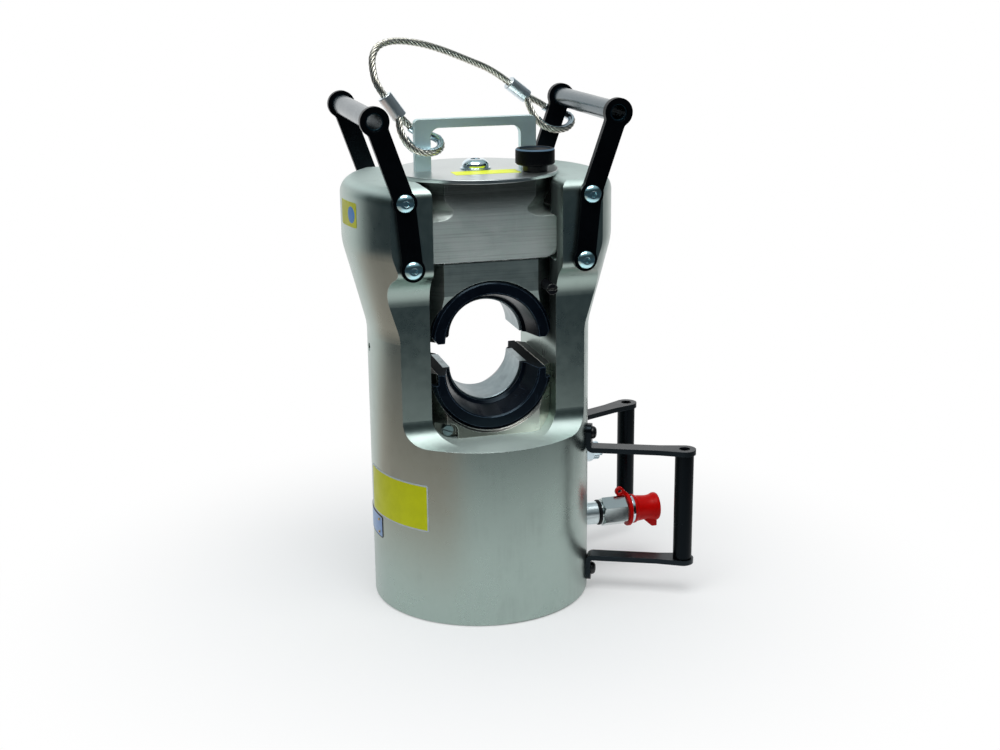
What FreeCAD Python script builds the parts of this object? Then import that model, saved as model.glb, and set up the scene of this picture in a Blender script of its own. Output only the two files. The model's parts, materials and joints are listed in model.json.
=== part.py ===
import FreeCAD, Part
import math
import os

os.makedirs("parts", exist_ok=True)

V = FreeCAD.Vector

# Driving sizes in millimetres. Z is up and the base centre is the origin.
# The window opens to -Y and +Y, the two columns stand at -X and +X.
BODY_R = 128.0            # lower barrel of the forged frame
SHOULDER_R = 153.0        # upper barrel, thicker for the locking lugs
FLARE_LOW_Z = 329.6
FLARE_HIGH_Z = 426.9
FLARE_BLEND = 60.0
BODY_TOP_Z = 498.0
TOP_ROUND = 18.0
FOOT_ROUND = 2.5

STROKE = 33.2             # ram travel, also the rest gap between the rings
UPPER_RING_Z = 316.8
LOWER_RING_Z = UPPER_RING_Z - STROKE
RING_R = 70.0             # die rings, one over the other in the window
RING_WALL = 2.2           # holder beside and below a ring
RING_FLOOR = 6.0
HOLDER_FIT = 0.3          # play between die holders and the window

SLOT_HALF = RING_R + RING_WALL + HOLDER_FIT   # half width of the window
SLOT_SILL_Z = LOWER_RING_Z - RING_R - RING_FLOOR
SLOT_CORNER_R = 28.0
SLOT_MOUTH_R = 10.0

FLAT_LOW_Y = 71.5         # lower milled flats of the columns
FLAT_HIGH_Y = 97.0        # upper milled flats that carry the bars
FLAT_FOOT_R = 26.0
FLAT_HOLLOW_R = 39.9
FLAT_NOSE_R = 11.9
FLAT_STEP_Z = 387.8
FLAT_TOP_R = 12.0

LEDGE_BORE_R = 90.0       # breech opening in the top of the frame
LUG_POCKET_R = 103.5
LUG_POCKET_Z = 406.0
LUG_FIT = 0.3
CROSS_LUG_TOP_Z = 456.2   # the crosshead's lugs bear under the ledge
LEDGE_Z = CROSS_LUG_TOP_Z + LUG_FIT

CYL_BORE_R = 95.0         # hydraulic cylinder
ROD_R = 64.0
ROD_FIT = 0.05
PISTON_FIT = 0.05
PLUG_H = 50.0
PISTON_Z = 80.0
PISTON_H = 40.0
GLAND_Z = 165.0
WIPER_Z = SLOT_SILL_Z - 11.6
WIPER_H = 7.0
WIPER_DEPTH = 5.0
SEAL_DEPTH = 6.0
RING_FIT = 0.02

HOLDER_FACET = 18.2
LOWER_HOLDER_HALF_Y = 67.5
UPPER_HOLDER_HALF_Y = 65.0
HOLDER_LIFT = 0.0
SPIGOT_R = 20.0
SPIGOT_H = 4.0
HOLDER_BOLT_X = 35.0
HOLDER_BOLT_Y = 30.0
HOLDER_BOLT_Z = SLOT_SILL_Z + 5.8
HOLDER_SLOPE_Z = 372.0
HOLDER_SLOPE_IN = 9.0

PARTING_BACK = 1.6        # each parting face stands back from its centre
RING_FIT_R = 0.05
RING_HALF_Y = 65.0
RING_MOUTH_R = 54.0       # funnel mouth, throat and lip that lead to the insert
RING_THROAT_R = 47.0
RING_THROAT_Y = 38.0
RING_LIP_R = 43.5
RING_LIP_Y = 34.0
RING_STEP_R = 49.5
INSERT_BORE_R = 41.5
INSERT_HALF_Y = 30.0
HORN_HALF = RING_R - 7.2
LOWER_HOOK_Z = LOWER_RING_Z - 12.8
UPPER_HOOK_RISE = 9.4

CROSS_R = 99.5            # breech lock crosshead
CROSS_BOTTOM_Z = 409.5
CROSS_ROUND = 11.0
CROSS_NECK_R = 83.0
CROSS_NECK_Z = 479.0
CROSS_GROOVE_R = 77.3
CROSS_GROOVE_Z = 466.8
CROSS_HALF_Y = 65.0
DISC_R = 93.3
DISC_H = 4.7
BOLT_R = 10.0             # centre bolt between crosshead and upper holder
BOLT_BITE = 18.0
DOWEL_Y = 50.0

CAM_R = 6.2               # release pins with a cam over the lock plunger
CAM_H0 = 5.6
CAM_DROP = 3.6
CAM_HALF_Y = 5.4
CAM_HOLE_R = 6.3
CAM_BACK_Y = 20.0
LOCK_R = 5.0
LOCK_HOLE_R = 5.05
LOCK_BITE = 3.5
LOWER_CAM_DEG = 232.17    # seen from the ring's centre, from +X towards +Z
LOWER_CAM_OUT = 14.95
UPPER_CAM_DEG = 42.88
UPPER_CAM_OUT = 18.02
LOWER_CAM_X = (RING_R + LOWER_CAM_OUT) * math.cos(math.radians(LOWER_CAM_DEG))
LOWER_CAM_Z = LOWER_RING_Z + (RING_R + LOWER_CAM_OUT) * math.sin(math.radians(LOWER_CAM_DEG))
UPPER_CAM_X = (RING_R + UPPER_CAM_OUT) * math.cos(math.radians(UPPER_CAM_DEG))
UPPER_CAM_Z = UPPER_RING_Z + (RING_R + UPPER_CAM_OUT) * math.sin(math.radians(UPPER_CAM_DEG))
LOWER_PIN_Y = -(LOWER_HOLDER_HALF_Y - 5.5)
UPPER_PIN_Y = -(UPPER_HOLDER_HALF_Y + 20.0)

KNOB_X = 58.0             # stop plunger beside the bail
KNOB_Y = -40.6
KNOB_R = 22.0
KNOB_LOW_Z = 510.3
KNOB_HIGH_Z = 528.0
KNOB_LIFT = 8.0
KNOB_FOOT_Z = BODY_TOP_Z - 28.0
BUSH_R = 7.4
TIP_R = 3.5
TIP_Z = 406.9
SWING = 90.0

BAIL_HALF = 70.0
BAIL_LEG = 18.0
BAIL_HALF_Y = 5.0
BAIL_TOP_Z = 560.0
BAIL_BAR = 10.0
BAIL_BOLT_X = BAIL_HALF - BAIL_LEG / 2.0

BAR_T = 8.0               # four bars of the two upper handles
BAR_W = 22.0
EYE_X = 133.0
EYE_Z = 570.0
EYE_R = 15.6
BOLT_HIGH = (103.3, 484.0)
BOLT_LOW = (96.4, 412.0)
LOBE_R = 13.0
GRIP_R = 11.2
GRIP_TENON_R = 9.9
GRIP_BORE_R = 8.0

SIDE_AZ = 24.1            # two side handles, degrees either side of +X
SIDE_SEAT = BODY_R - 0.5
SIDE_RHO = SIDE_SEAT + 114.2
SIDE_T = 6.0
SIDE_W = 20.0
SIDE_EYE_R = 13.25
SIDE_LOW_Z = 44.5
SIDE_HIGH_Z = 173.5
SIDE_TAB = 26.5
SIDE_GRIP_R = 11.0
SIDE_TENON_R = 6.4

PORT_Z = 73.0             # quick coupler on the right
PORT_SEAT = BODY_R - 1.0
PLUG_Z = 154.0
SCREW_HOLE_Z = 305.0

ROPE_R = 4.0              # steel rope that keeps the crosshead with the frame
FERRULE_R = 8.3
FERRULE_L = 29.0
STRAND = ROPE_R + 0.15
EYE_LEAD = 4.0
EYE_GAP = 0.2
THIMBLE_FIT = 0.2
THIMBLE_T = 1.1
LEFT_MOUTH = V(-101.6, 0.0, 586.6)
LEFT_FALL = V(0.58, 0.0, -0.815)
RIGHT_FOOT = V(90.0, 101.0, 571.2)
RIGHT_FALL = V(0.79, 0.15, -0.60)
LEFT_LEAD = 14.0
RIGHT_LEAD = 24.0

NIPPLE_R = 14.0           # coupler pieces along X, each from the one before
NIPPLE_END_X = PORT_SEAT + 20.0
COUPLER_X = NIPPLE_END_X + 4.0
HEX_X = COUPLER_X + 2.0
HEX_END_X = HEX_X + 31.0
TETHER_END_X = HEX_END_X + 5.0
COLLAR_X = TETHER_END_X + 0.3
COLLAR_END_X = COLLAR_X + 6.7
SPOUT_R = 13.0
SPOUT_END_X = COLLAR_END_X + 12.0
CAP_R = 16.0
CAP_FLARE_R = 19.0
CAP_X = COLLAR_END_X + 0.3
CAP_END_X = CAP_X + 29.7
STRAP_Y = 20.6
STRAP_T = 2.6


def unit(v):
    return v * (1.0 / v.Length)


def place_xz(y):
    return lambda a, b: V(a, y, b)


def place_yz(x):
    return lambda a, b: V(x, a, b)


def place_xy(z):
    return lambda a, b: V(a, b, z)


def corner_wire(corners, place):
    """Closed wire through (a, b, radius) corners, each turned by a tangent arc."""
    spots = [place(c[0], c[1]) for c in corners]
    count = len(corners)
    ends = []
    for i in range(count):
        here = spots[i]
        radius = corners[i][2] if len(corners[i]) > 2 else 0.0
        if radius <= 0.0:
            ends.append((here, None, here))
            continue
        u = unit(spots[i - 1] - here)
        w = unit(spots[(i + 1) % count] - here)
        half = u.getAngle(w) / 2.0
        cut = radius / math.tan(half)
        mid = here + unit(u + w) * (radius / math.sin(half) - radius)
        ends.append((here + u * cut, mid, here + w * cut))
    edges = []
    for i in range(count):
        start, mid, stop = ends[i]
        if mid is not None:
            edges.append(Part.Arc(start, mid, stop).toShape())
        following = ends[(i + 1) % count][0]
        if (following - stop).Length > 1e-5:
            edges.append(Part.LineSegment(stop, following).toShape())
    return Part.Wire(edges)


def prism(corners, place, path):
    return Part.Face(corner_wire(corners, place)).extrude(path)


def spin(corners):
    """Solid of revolution about Z from (radius, z, round) corners."""
    face = Part.Face(corner_wire(corners, place_xz(0.0)))
    return face.revolve(V(0, 0, 0), V(0, 0, 1), 360)


def tube_ring(r_in, r_out, z0, z1, r=0.0):
    return spin([(r_in, z0, r), (r_out, z0, r), (r_out, z1, r), (r_in, z1, r)])


def rod(r, z0, z1, x=0.0, y=0.0):
    return Part.makeCylinder(r, z1 - z0, V(x, y, z0), V(0, 0, 1))


def rod_y(r, y0, y1, x, z):
    return Part.makeCylinder(r, y1 - y0, V(x, y0, z), V(0, 1, 0))


def rod_x(r, x0, x1, y, z):
    return Part.makeCylinder(r, x1 - x0, V(x0, y, z), V(1, 0, 0))


def block(x0, x1, y0, y1, z0, z1):
    return Part.makeBox(x1 - x0, y1 - y0, z1 - z0, V(x0, y0, z0))


def along_x(shape, x, y, z):
    """Turn a shape made about +Z so that it runs along +X from (x, y, z)."""
    out = shape.copy()
    out.rotate(V(0, 0, 0), V(0, 1, 0), 90)
    out.translate(V(x, y, z))
    return out


def front_and_back(shape):
    """The shape at -Y and its turned twin at +Y."""
    twin = shape.copy()
    twin.rotate(V(0, 0, 0), V(0, 0, 1), 180)
    return [shape, twin]


def mirror_x(shape):
    return shape.mirror(V(0, 0, 0), V(1, 0, 0))


def hex_prism(flats, z0, z1, bevel):
    """Hexagon across the given flats, its ends bevelled as a nut's are."""
    reach = flats / 2.0 / math.cos(math.radians(30))
    pts = []
    for i in range(6):
        a = math.radians(60 * i)
        pts.append((reach * math.cos(a), reach * math.sin(a)))
    body = prism(pts, place_xy(z0), V(0, 0, z1 - z0))
    trim = spin([
        (0, z0), (flats / 2.0, z0), (reach + bevel, z0 + bevel * 2.2),
        (reach + bevel, z1 - bevel * 2.2), (flats / 2.0, z1), (0, z1)])
    return body.common(trim)


def hex_socket(flats, z_top, depth):
    return hex_prism(flats, z_top - depth, z_top + 2.0, 0.01)


def dome_screw(head_r, head_h, shank_r, shank_l, key):
    """Button screw standing on z = 0, with a hexagon socket in its dome."""
    body = spin([
        (0, -shank_l), (shank_r - 0.8, -shank_l), (shank_r, -shank_l + 0.8),
        (shank_r, 0), (head_r - 0.3, 0), (head_r, 0.3), (head_r, head_h, head_h * 0.85),
        (0, head_h)])
    return body.cut(hex_socket(key, head_h, head_h * 0.6))


def aim(shape, spot, direction):
    """Turn a shape made about +Z to the direction and put it at the spot."""
    out = shape.copy()
    out.Placement = FreeCAD.Placement(spot, FreeCAD.Rotation(V(0, 0, 1), direction))
    return out


def save(name, shapes):
    shape = shapes
    if isinstance(shapes, list):
        shape = Part.makeCompound(shapes) if len(shapes) > 1 else shapes[0]
    shape.exportStep("parts/" + name + ".step")


def side_point(rho, z, side):
    a = math.radians(SIDE_AZ * side)
    return V(rho * math.cos(a), rho * math.sin(a), z)


def spun_side(shape, side):
    out = shape.copy()
    out.rotate(V(0, 0, 0), V(0, 0, 1), SIDE_AZ * side)
    return out


# Forged frame
def barrel():
    return spin([
        (0, 0), (BODY_R, 0, FOOT_ROUND),
        (BODY_R, FLARE_LOW_Z, FLARE_BLEND), (SHOULDER_R, FLARE_HIGH_Z, FLARE_BLEND),
        (SHOULDER_R, BODY_TOP_Z, TOP_ROUND), (0, BODY_TOP_Z)])


def window_cut():
    wide = SLOT_HALF + 22.0
    high = BODY_TOP_Z + 20.0
    return prism([
        (-SLOT_HALF, SLOT_SILL_Z, SLOT_CORNER_R), (SLOT_HALF, SLOT_SILL_Z, SLOT_CORNER_R),
        (SLOT_HALF, BODY_TOP_Z, SLOT_MOUTH_R), (wide, BODY_TOP_Z), (wide, high),
        (-wide, high), (-wide, BODY_TOP_Z), (-SLOT_HALF, BODY_TOP_Z, SLOT_MOUTH_R)],
        place_xz(-200.0), V(0, 400, 0))


def flat_cut():
    """Milling of one face of the columns, with its hollow and nose blends."""
    rise = (FLAT_HIGH_Y - FLAT_LOW_Y) / math.tan(math.radians(59.36))
    return prism([
        (-200.0, SLOT_SILL_Z), (-FLAT_LOW_Y, SLOT_SILL_Z, FLAT_FOOT_R),
        (-FLAT_LOW_Y, FLAT_STEP_Z, FLAT_HOLLOW_R), (-FLAT_HIGH_Y, FLAT_STEP_Z + rise, FLAT_NOSE_R),
        (-FLAT_HIGH_Y, BODY_TOP_Z, FLAT_TOP_R), (-60.0, BODY_TOP_Z),
        (-60.0, BODY_TOP_Z + 20.0), (-200.0, BODY_TOP_Z + 20.0)],
        place_yz(-200.0), V(400, 0, 0))


def breech_cut():
    return spin([
        (0, LUG_POCKET_Z), (LUG_POCKET_R, LUG_POCKET_Z, 4.0), (LUG_POCKET_R, LEDGE_Z, 2.0),
        (LEDGE_BORE_R, LEDGE_Z), (LEDGE_BORE_R, BODY_TOP_Z + 5.0), (0, BODY_TOP_Z + 5.0)])


def cylinder_cuts():
    cuts = [rod(CYL_BORE_R, -1.0, GLAND_Z)]
    cuts.append(rod(ROD_R + ROD_FIT, GLAND_Z - 1.0, SLOT_SILL_Z + SLOT_CORNER_R + 1.0))
    cuts.append(rod(ROD_R + ROD_FIT + WIPER_DEPTH, WIPER_Z, WIPER_Z + WIPER_H))
    return cuts


def port_cuts():
    cuts = []
    for z in (PORT_Z, PLUG_Z):
        cuts.append(rod_x(15.0, PORT_SEAT, BODY_R + 5.0, 0, z))
        cuts.append(rod_x(10.05, PORT_SEAT - 26.0, BODY_R + 5.0, 0, z))
        cuts.append(rod_x(4.0, CYL_BORE_R - 3.0, PORT_SEAT, 0, z))
    cuts.append(rod_x(5.0, -BODY_R - 5.0, -BODY_R + 18.0, 0, SCREW_HOLE_Z))
    return cuts


def bar_bolt_cuts():
    cuts = []
    for x, z in (BOLT_HIGH, BOLT_LOW):
        for sx in (-1, 1):
            cuts.append(rod_y(5.0, -FLAT_HIGH_Y - 5.0, -FLAT_HIGH_Y + 25.0, sx * x, z))
            cuts.append(rod_y(5.0, FLAT_HIGH_Y - 25.0, FLAT_HIGH_Y + 5.0, sx * x, z))
    return cuts


def side_seat_cuts():
    cuts = []
    half = SIDE_W / 2.0 + 0.6
    spans = (
        (SIDE_HIGH_Z - 2.0, SIDE_HIGH_Z + SIDE_T + SIDE_TAB + 1.0, SIDE_HIGH_Z + SIDE_T + 16.0),
        (SIDE_LOW_Z - SIDE_T - SIDE_TAB - 1.0, SIDE_LOW_Z + 2.0, SIDE_LOW_Z - SIDE_T - 13.5))
    for side in (-1, 1):
        for z0, z1, zs in spans:
            flat = block(SIDE_SEAT, BODY_R + 3.0, -half, half, z0, z1)
            cuts.append(spun_side(flat, side))
            hole = rod_x(4.0, SIDE_SEAT - 21.0, BODY_R, 0, zs)
            cuts.append(spun_side(hole, side))
    return cuts


def frame_body():
    body = barrel().cut([window_cut()] + front_and_back(flat_cut()))
    body = body.cut(breech_cut())
    body = body.cut(cylinder_cuts())
    body = body.cut(port_cuts())
    body = body.cut(bar_bolt_cuts())
    return body.cut(side_seat_cuts())


# Hydraulic cylinder
def base_plug():
    groove = PLUG_H - 12.0
    deep = CYL_BORE_R - 5.0
    body = spin([
        (0, 0), (CYL_BORE_R - 1.2, 0), (CYL_BORE_R - 0.1, 1.1), (CYL_BORE_R - 0.1, groove),
        (deep, groove), (deep, groove + 6.0), (CYL_BORE_R - 0.1, groove + 6.0),
        (CYL_BORE_R - 0.1, PLUG_H - 1.0), (CYL_BORE_R - 1.1, PLUG_H), (0, PLUG_H)])
    holes = [rod(6.0, -1.0, 10.0, 60.0, 0.0), rod(6.0, -1.0, 10.0, -60.0, 0.0)]
    return body.cut(holes)


def plug_ring():
    z = PLUG_H - 12.0
    return tube_ring(CYL_BORE_R - 5.0 + RING_FIT, CYL_BORE_R - RING_FIT, z + 0.2, z + 5.8, 2.0)


def ram_piston():
    r = CYL_BORE_R - PISTON_FIT
    z0 = PISTON_Z
    z1 = PISTON_Z + PISTON_H
    foot = SLOT_SILL_Z + HOLDER_LIFT
    body = spin([
        (0, z0), (r - 3.0, z0), (r, z0 + 3.0),
        (r, z0 + 10.0), (r - SEAL_DEPTH, z0 + 10.0), (r - SEAL_DEPTH, z0 + 18.0), (r, z0 + 18.0),
        (r, z0 + 25.0), (r - 3.0, z0 + 25.0), (r - 3.0, z0 + 33.0), (r, z0 + 33.0),
        (r, z1 - 2.0), (r - 2.0, z1), (ROD_R, z1, 1.5),
        (ROD_R, foot, 1.5), (SPIGOT_R, foot), (SPIGOT_R, foot + SPIGOT_H, 0.8),
        (0, foot + SPIGOT_H)])
    return body.cut(holder_bolt_holes(0.0, 4.0))


def piston_seal():
    r = CYL_BORE_R - PISTON_FIT
    z = PISTON_Z + 10.0
    return tube_ring(r - SEAL_DEPTH + RING_FIT, CYL_BORE_R - RING_FIT, z + 0.1, z + 7.9, 0.8)


def wear_ring():
    r = CYL_BORE_R - PISTON_FIT
    z = PISTON_Z + 25.0
    return tube_ring(r - 3.0 + RING_FIT, CYL_BORE_R - RING_FIT, z + 0.1, z + 7.9, 0.4)


def rod_wiper():
    outer = ROD_R + ROD_FIT + WIPER_DEPTH - RING_FIT
    return tube_ring(ROD_R + RING_FIT, outer, WIPER_Z + 0.1, WIPER_Z + WIPER_H - 0.1, 0.8)


def return_spring():
    return tube_ring(ROD_R + 8.0, ROD_R + 22.0, PISTON_Z + PISTON_H, GLAND_Z)


# Dies and their holders
def ring_profile():
    """Half section of a die ring about its own axis, (radius, y) corners."""
    out = RING_R
    y = RING_HALF_Y
    return [
        (RING_MOUTH_R + 1.5, -y), (out - 3.5, -y), (out, -y + 3.0), (out, y - 3.0),
        (out - 3.5, y), (RING_MOUTH_R + 1.5, y), (RING_MOUTH_R, y - 1.5),
        (RING_THROAT_R, RING_THROAT_Y, 2.0), (RING_LIP_R, RING_LIP_Y),
        (RING_LIP_R, INSERT_HALF_Y), (RING_STEP_R, INSERT_HALF_Y),
        (RING_STEP_R, -INSERT_HALF_Y), (RING_LIP_R, -INSERT_HALF_Y),
        (RING_LIP_R, -RING_LIP_Y), (RING_THROAT_R, -RING_THROAT_Y, 2.0),
        (RING_MOUTH_R, -y + 1.5)]


def about_y(profile, zc):
    face = Part.Face(corner_wire(profile, lambda a, b: V(a, b, zc)))
    return face.revolve(V(0, 0, zc), V(0, 1, 0), 360)


def insert_profile():
    h = INSERT_HALF_Y - 0.05
    r = RING_STEP_R - 0.05
    return [(INSERT_BORE_R + 0.8, -h), (r, -h), (r, h), (INSERT_BORE_R + 0.8, h),
            (INSERT_BORE_R, h - 0.8), (INSERT_BORE_R, -h + 0.8)]


def lower_half():
    """Region kept by the lower ring, with its ends notched under the horns."""
    part = LOWER_RING_Z - PARTING_BACK
    horn = HORN_HALF - HOLDER_FIT
    far = RING_R + 20.0
    return prism([
        (-far, LOWER_RING_Z - far), (far, LOWER_RING_Z - far), (far, LOWER_HOOK_Z - HOLDER_FIT),
        (horn, LOWER_HOOK_Z - HOLDER_FIT, 1.0), (horn, part), (-horn, part),
        (-horn, LOWER_HOOK_Z - HOLDER_FIT, 1.0), (-far, LOWER_HOOK_Z - HOLDER_FIT)],
        place_xz(-far), V(0, 2 * far, 0))


def upper_half():
    part = UPPER_RING_Z + PARTING_BACK
    horn = HORN_HALF - HOLDER_FIT
    edge = horn + UPPER_HOOK_RISE * 0.72
    far = RING_R + 20.0
    return prism([
        (-far, UPPER_RING_Z + far), (far, UPPER_RING_Z + far), (far, part + UPPER_HOOK_RISE),
        (edge, part + UPPER_HOOK_RISE), (horn, part), (-horn, part),
        (-edge, part + UPPER_HOOK_RISE), (-far, part + UPPER_HOOK_RISE)],
        place_xz(-far), V(0, 2 * far, 0))


def lock_axis(x, z, zc):
    """Unit direction from a ring centre to its release pin, and the distance."""
    d = V(x, 0, z - zc)
    return unit(d), d.Length


def lock_hole(x, z, zc, r, start, stop):
    e, far = lock_axis(x, z, zc)
    base = V(0, 0, zc) + e * start
    return Part.makeCylinder(r, stop - start, base, e)


def lower_adapter():
    body = about_y(ring_profile(), LOWER_RING_Z).common(lower_half())
    hole = lock_hole(LOWER_CAM_X, LOWER_CAM_Z, LOWER_RING_Z, LOCK_HOLE_R + 0.1,
                     RING_R - LOCK_BITE - 0.3, RING_R + 2.0)
    return body.cut(hole)


def upper_adapter():
    body = about_y(ring_profile(), UPPER_RING_Z).common(upper_half())
    hole = lock_hole(UPPER_CAM_X, UPPER_CAM_Z, UPPER_RING_Z, LOCK_HOLE_R + 0.1,
                     RING_R - LOCK_BITE - 0.3, RING_R + 2.0)
    return body.cut(hole)


def lower_insert():
    return about_y(insert_profile(), LOWER_RING_Z).common(lower_half())


def upper_insert():
    return about_y(insert_profile(), UPPER_RING_Z).common(upper_half())


def facet_cuts(half_x, half_y, z0, z1):
    """Four upright 45 degree corner cuts of a die holder."""
    cuts = []
    f = HOLDER_FACET
    for sx in (-1, 1):
        for sy in (-1, 1):
            x = sx * (half_x + 1.0)
            y = sy * (half_y + 1.0)
            pts = [(x, y), (x, sy * (half_y - f - 1.0)), (sx * (half_x - f - 1.0), y)]
            cuts.append(prism(pts, place_xy(z0), V(0, 0, z1 - z0)))
    return cuts


def seat_cone(zc, half_y, drop, grow):
    """Bright lead-in round the mouth of a ring seat, front and back."""
    r = RING_R + RING_FIT_R
    cone = Part.makeCone(r, r + grow + 0.5, 3.5, V(0, -half_y + 3.0, zc - drop), V(0, -1, 0))
    return front_and_back(cone)


def lower_die_holder():
    half = SLOT_HALF - HOLDER_FIT
    foot = SLOT_SILL_Z + HOLDER_LIFT
    corner = SLOT_CORNER_R - HOLDER_FIT
    horn_top = LOWER_RING_Z - PARTING_BACK + 1.0
    hy = LOWER_HOLDER_HALF_Y
    body = prism([
        (-half, foot, corner), (half, foot, corner), (half, horn_top), (-half, horn_top)],
        place_xz(-hy), V(0, 2 * hy, 0))
    seat = rod_y(RING_R + RING_FIT_R, -hy - 1, hy + 1, 0, LOWER_RING_Z)
    seat = seat.common(block(-half, half, -hy - 1, hy + 1, foot, LOWER_HOOK_Z))
    mouth = block(-HORN_HALF, HORN_HALF, -hy - 1, hy + 1, LOWER_HOOK_Z - 1.0, horn_top + 1)
    body = body.cut([seat, mouth] + facet_cuts(half, hy, foot - 1, horn_top + 1))
    body = body.cut(seat_cone(LOWER_RING_Z, hy, 0.8, 1.2))
    e, far = lock_axis(LOWER_CAM_X, LOWER_CAM_Z, LOWER_RING_Z)
    body = body.cut(rod_y(CAM_HOLE_R, -hy - 1, CAM_BACK_Y + 0.3, LOWER_CAM_X, LOWER_CAM_Z))
    body = body.cut(lock_hole(LOWER_CAM_X, LOWER_CAM_Z, LOWER_RING_Z, LOCK_HOLE_R,
                              RING_R - 4.0, far))
    notch = prism([
        (LOWER_CAM_X - 22, LOWER_CAM_Z - 14), (LOWER_CAM_X + 10, LOWER_CAM_Z - 14, 4.0),
        (LOWER_CAM_X + 10, LOWER_CAM_Z + 9, 8.0), (LOWER_CAM_X - 22, LOWER_CAM_Z + 9)],
        place_xz(-hy - 1), V(0, 13.0, 0))
    body = body.cut([notch] + holder_bolt_holes(6.6, 4.3))
    return body.cut(rod(SPIGOT_R + 0.05, foot - 1.0, foot + SPIGOT_H + 0.3))


def holder_bolt_spots():
    x = HOLDER_BOLT_X
    y = HOLDER_BOLT_Y
    return [(x, y), (-x, y), (x, -y), (-x, -y)]


def holder_bolt_holes(head_r, shank_r):
    cuts = []
    for x, y in holder_bolt_spots():
        cuts.append(rod(shank_r, HOLDER_BOLT_Z - 30.0, HOLDER_BOLT_Z + 1.0, x, y))
        if head_r > 0.0:
            cuts.append(rod(head_r, HOLDER_BOLT_Z, HOLDER_BOLT_Z + 18.0, x, y))
    return cuts


def holder_bolts():
    """Four socket screws under the lower ring, holding its holder to the rod."""
    out = []
    for x, y in holder_bolt_spots():
        one = spin([
            (0, HOLDER_BOLT_Z - 27.0), (3.95, HOLDER_BOLT_Z - 27.0), (3.95, HOLDER_BOLT_Z),
            (6.5, HOLDER_BOLT_Z), (6.5, HOLDER_BOLT_Z + 5.9, 0.6), (0, HOLDER_BOLT_Z + 5.9)])
        one = one.cut(hex_socket(6.0, HOLDER_BOLT_Z + 5.9, 3.5))
        one.translate(V(x, y, 0))
        out.append(one)
    return out


def stop_groove(z_top, reach):
    """Quarter ring in the upper holder's top, in which the stop plunger's tip runs."""
    r = math.hypot(KNOB_X, KNOB_Y)
    start = math.degrees(math.atan2(KNOB_Y, KNOB_X))
    half = TIP_R + 0.3
    face = Part.Face(corner_wire([
        (r - half, reach), (r + half, reach), (r + half, z_top + 1.0),
        (r - half, z_top + 1.0)], place_xz(0.0)))
    sweep = face.revolve(V(0, 0, 0), V(0, 0, 1), SWING)
    sweep.rotate(V(0, 0, 0), V(0, 0, 1), start)
    cuts = [sweep]
    for a in (start, start + SWING):
        x = r * math.cos(math.radians(a))
        y = r * math.sin(math.radians(a))
        cuts.append(rod(half, reach, z_top + 1.0, x, y))
    return cuts


def upper_die_holder():
    half = SLOT_HALF - HOLDER_FIT
    top = CROSS_BOTTOM_Z - HOLDER_FIT
    part = UPPER_RING_Z + PARTING_BACK
    hy = UPPER_HOLDER_HALF_Y
    edge = HORN_HALF + UPPER_HOOK_RISE * 0.72
    far = half + 5.0
    body = block(-half, half, -hy, hy, part, top)
    seat = rod_y(RING_R + RING_FIT_R, -hy - 1, hy + 1, 0, UPPER_RING_Z)
    seat = seat.common(prism([
        (-HORN_HALF, part - 2), (HORN_HALF, part - 2), (HORN_HALF, part),
        (edge, part + UPPER_HOOK_RISE), (far, part + UPPER_HOOK_RISE + 1), (far, top),
        (-far, top), (-far, part + UPPER_HOOK_RISE + 1), (-edge, part + UPPER_HOOK_RISE),
        (-HORN_HALF, part)], place_xz(-hy - 1), V(0, 2 * hy + 2, 0)))
    body = body.cut([seat] + facet_cuts(half, hy, part - 1, top + 1))
    slope = prism([
        (-hy - 1.0, HOLDER_SLOPE_Z), (-hy, HOLDER_SLOPE_Z),
        (-hy + HOLDER_SLOPE_IN, part - 1.0), (-hy - 1.0, part - 1.0)],
        place_yz(-far), V(2 * far, 0, 0))
    body = body.cut(front_and_back(slope))
    e, far = lock_axis(UPPER_CAM_X, UPPER_CAM_Z, UPPER_RING_Z)
    body = body.cut(rod_y(CAM_HOLE_R, -hy - 1, CAM_BACK_Y + 0.3, UPPER_CAM_X, UPPER_CAM_Z))
    body = body.cut(lock_hole(UPPER_CAM_X, UPPER_CAM_Z, UPPER_RING_Z, LOCK_HOLE_R,
                              RING_R - 4.0, far))
    body = body.cut(stop_groove(top, TIP_Z - 0.3))
    return body.cut(rod(10.05, top - BOLT_BITE - 1.5, top + 1.0))


def cam_pin(x, z, zc, front_y, slot_angle, turn_sign):
    """Release pin along Y, its cam falling away from the plunger as it turns."""
    pin = rod_y(CAM_R, front_y, CAM_BACK_Y, x, z)
    e, far = lock_axis(x, z, zc)
    steps = 12
    for i in range(steps + 1):
        deg = 90.0 * i / steps
        dist = CAM_H0 - CAM_DROP * deg / 90.0 - 0.05
        facing = FreeCAD.Rotation(V(0, 1, 0), -turn_sign * deg).multVec(e * -1.0)
        away = Part.makeBox(20, 2 * CAM_HALF_Y, 20, V(dist, -CAM_HALF_Y, -10))
        # The box's own +X is turned to the facing direction, its Y stays along the pin.
        angle = math.degrees(math.atan2(-facing.z, facing.x))
        away.rotate(V(0, 0, 0), V(0, 1, 0), angle)
        away.translate(V(x, 0, z))
        pin = pin.cut(away)
    slot = block(-10, 10, front_y - 1.0, front_y + 2.5, -0.9, 0.9)
    slot.rotate(V(0, 0, 0), V(0, 1, 0), slot_angle)
    slot.translate(V(x, 0, z))
    return pin.cut(slot)


def lock_plunger(x, z, zc):
    e, far = lock_axis(x, z, zc)
    start = RING_R - LOCK_BITE
    stop = far - CAM_H0
    base = V(0, 0, zc) + e * start
    body = Part.makeCylinder(LOCK_R, stop - start, base, e)
    nose = Part.makeCone(LOCK_R - 1.0, LOCK_R, 1.0, base, e)
    ring = Part.makeCylinder(LOCK_R + 1, 1.0, base, e).cut(nose)
    return body.cut(ring)


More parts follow.
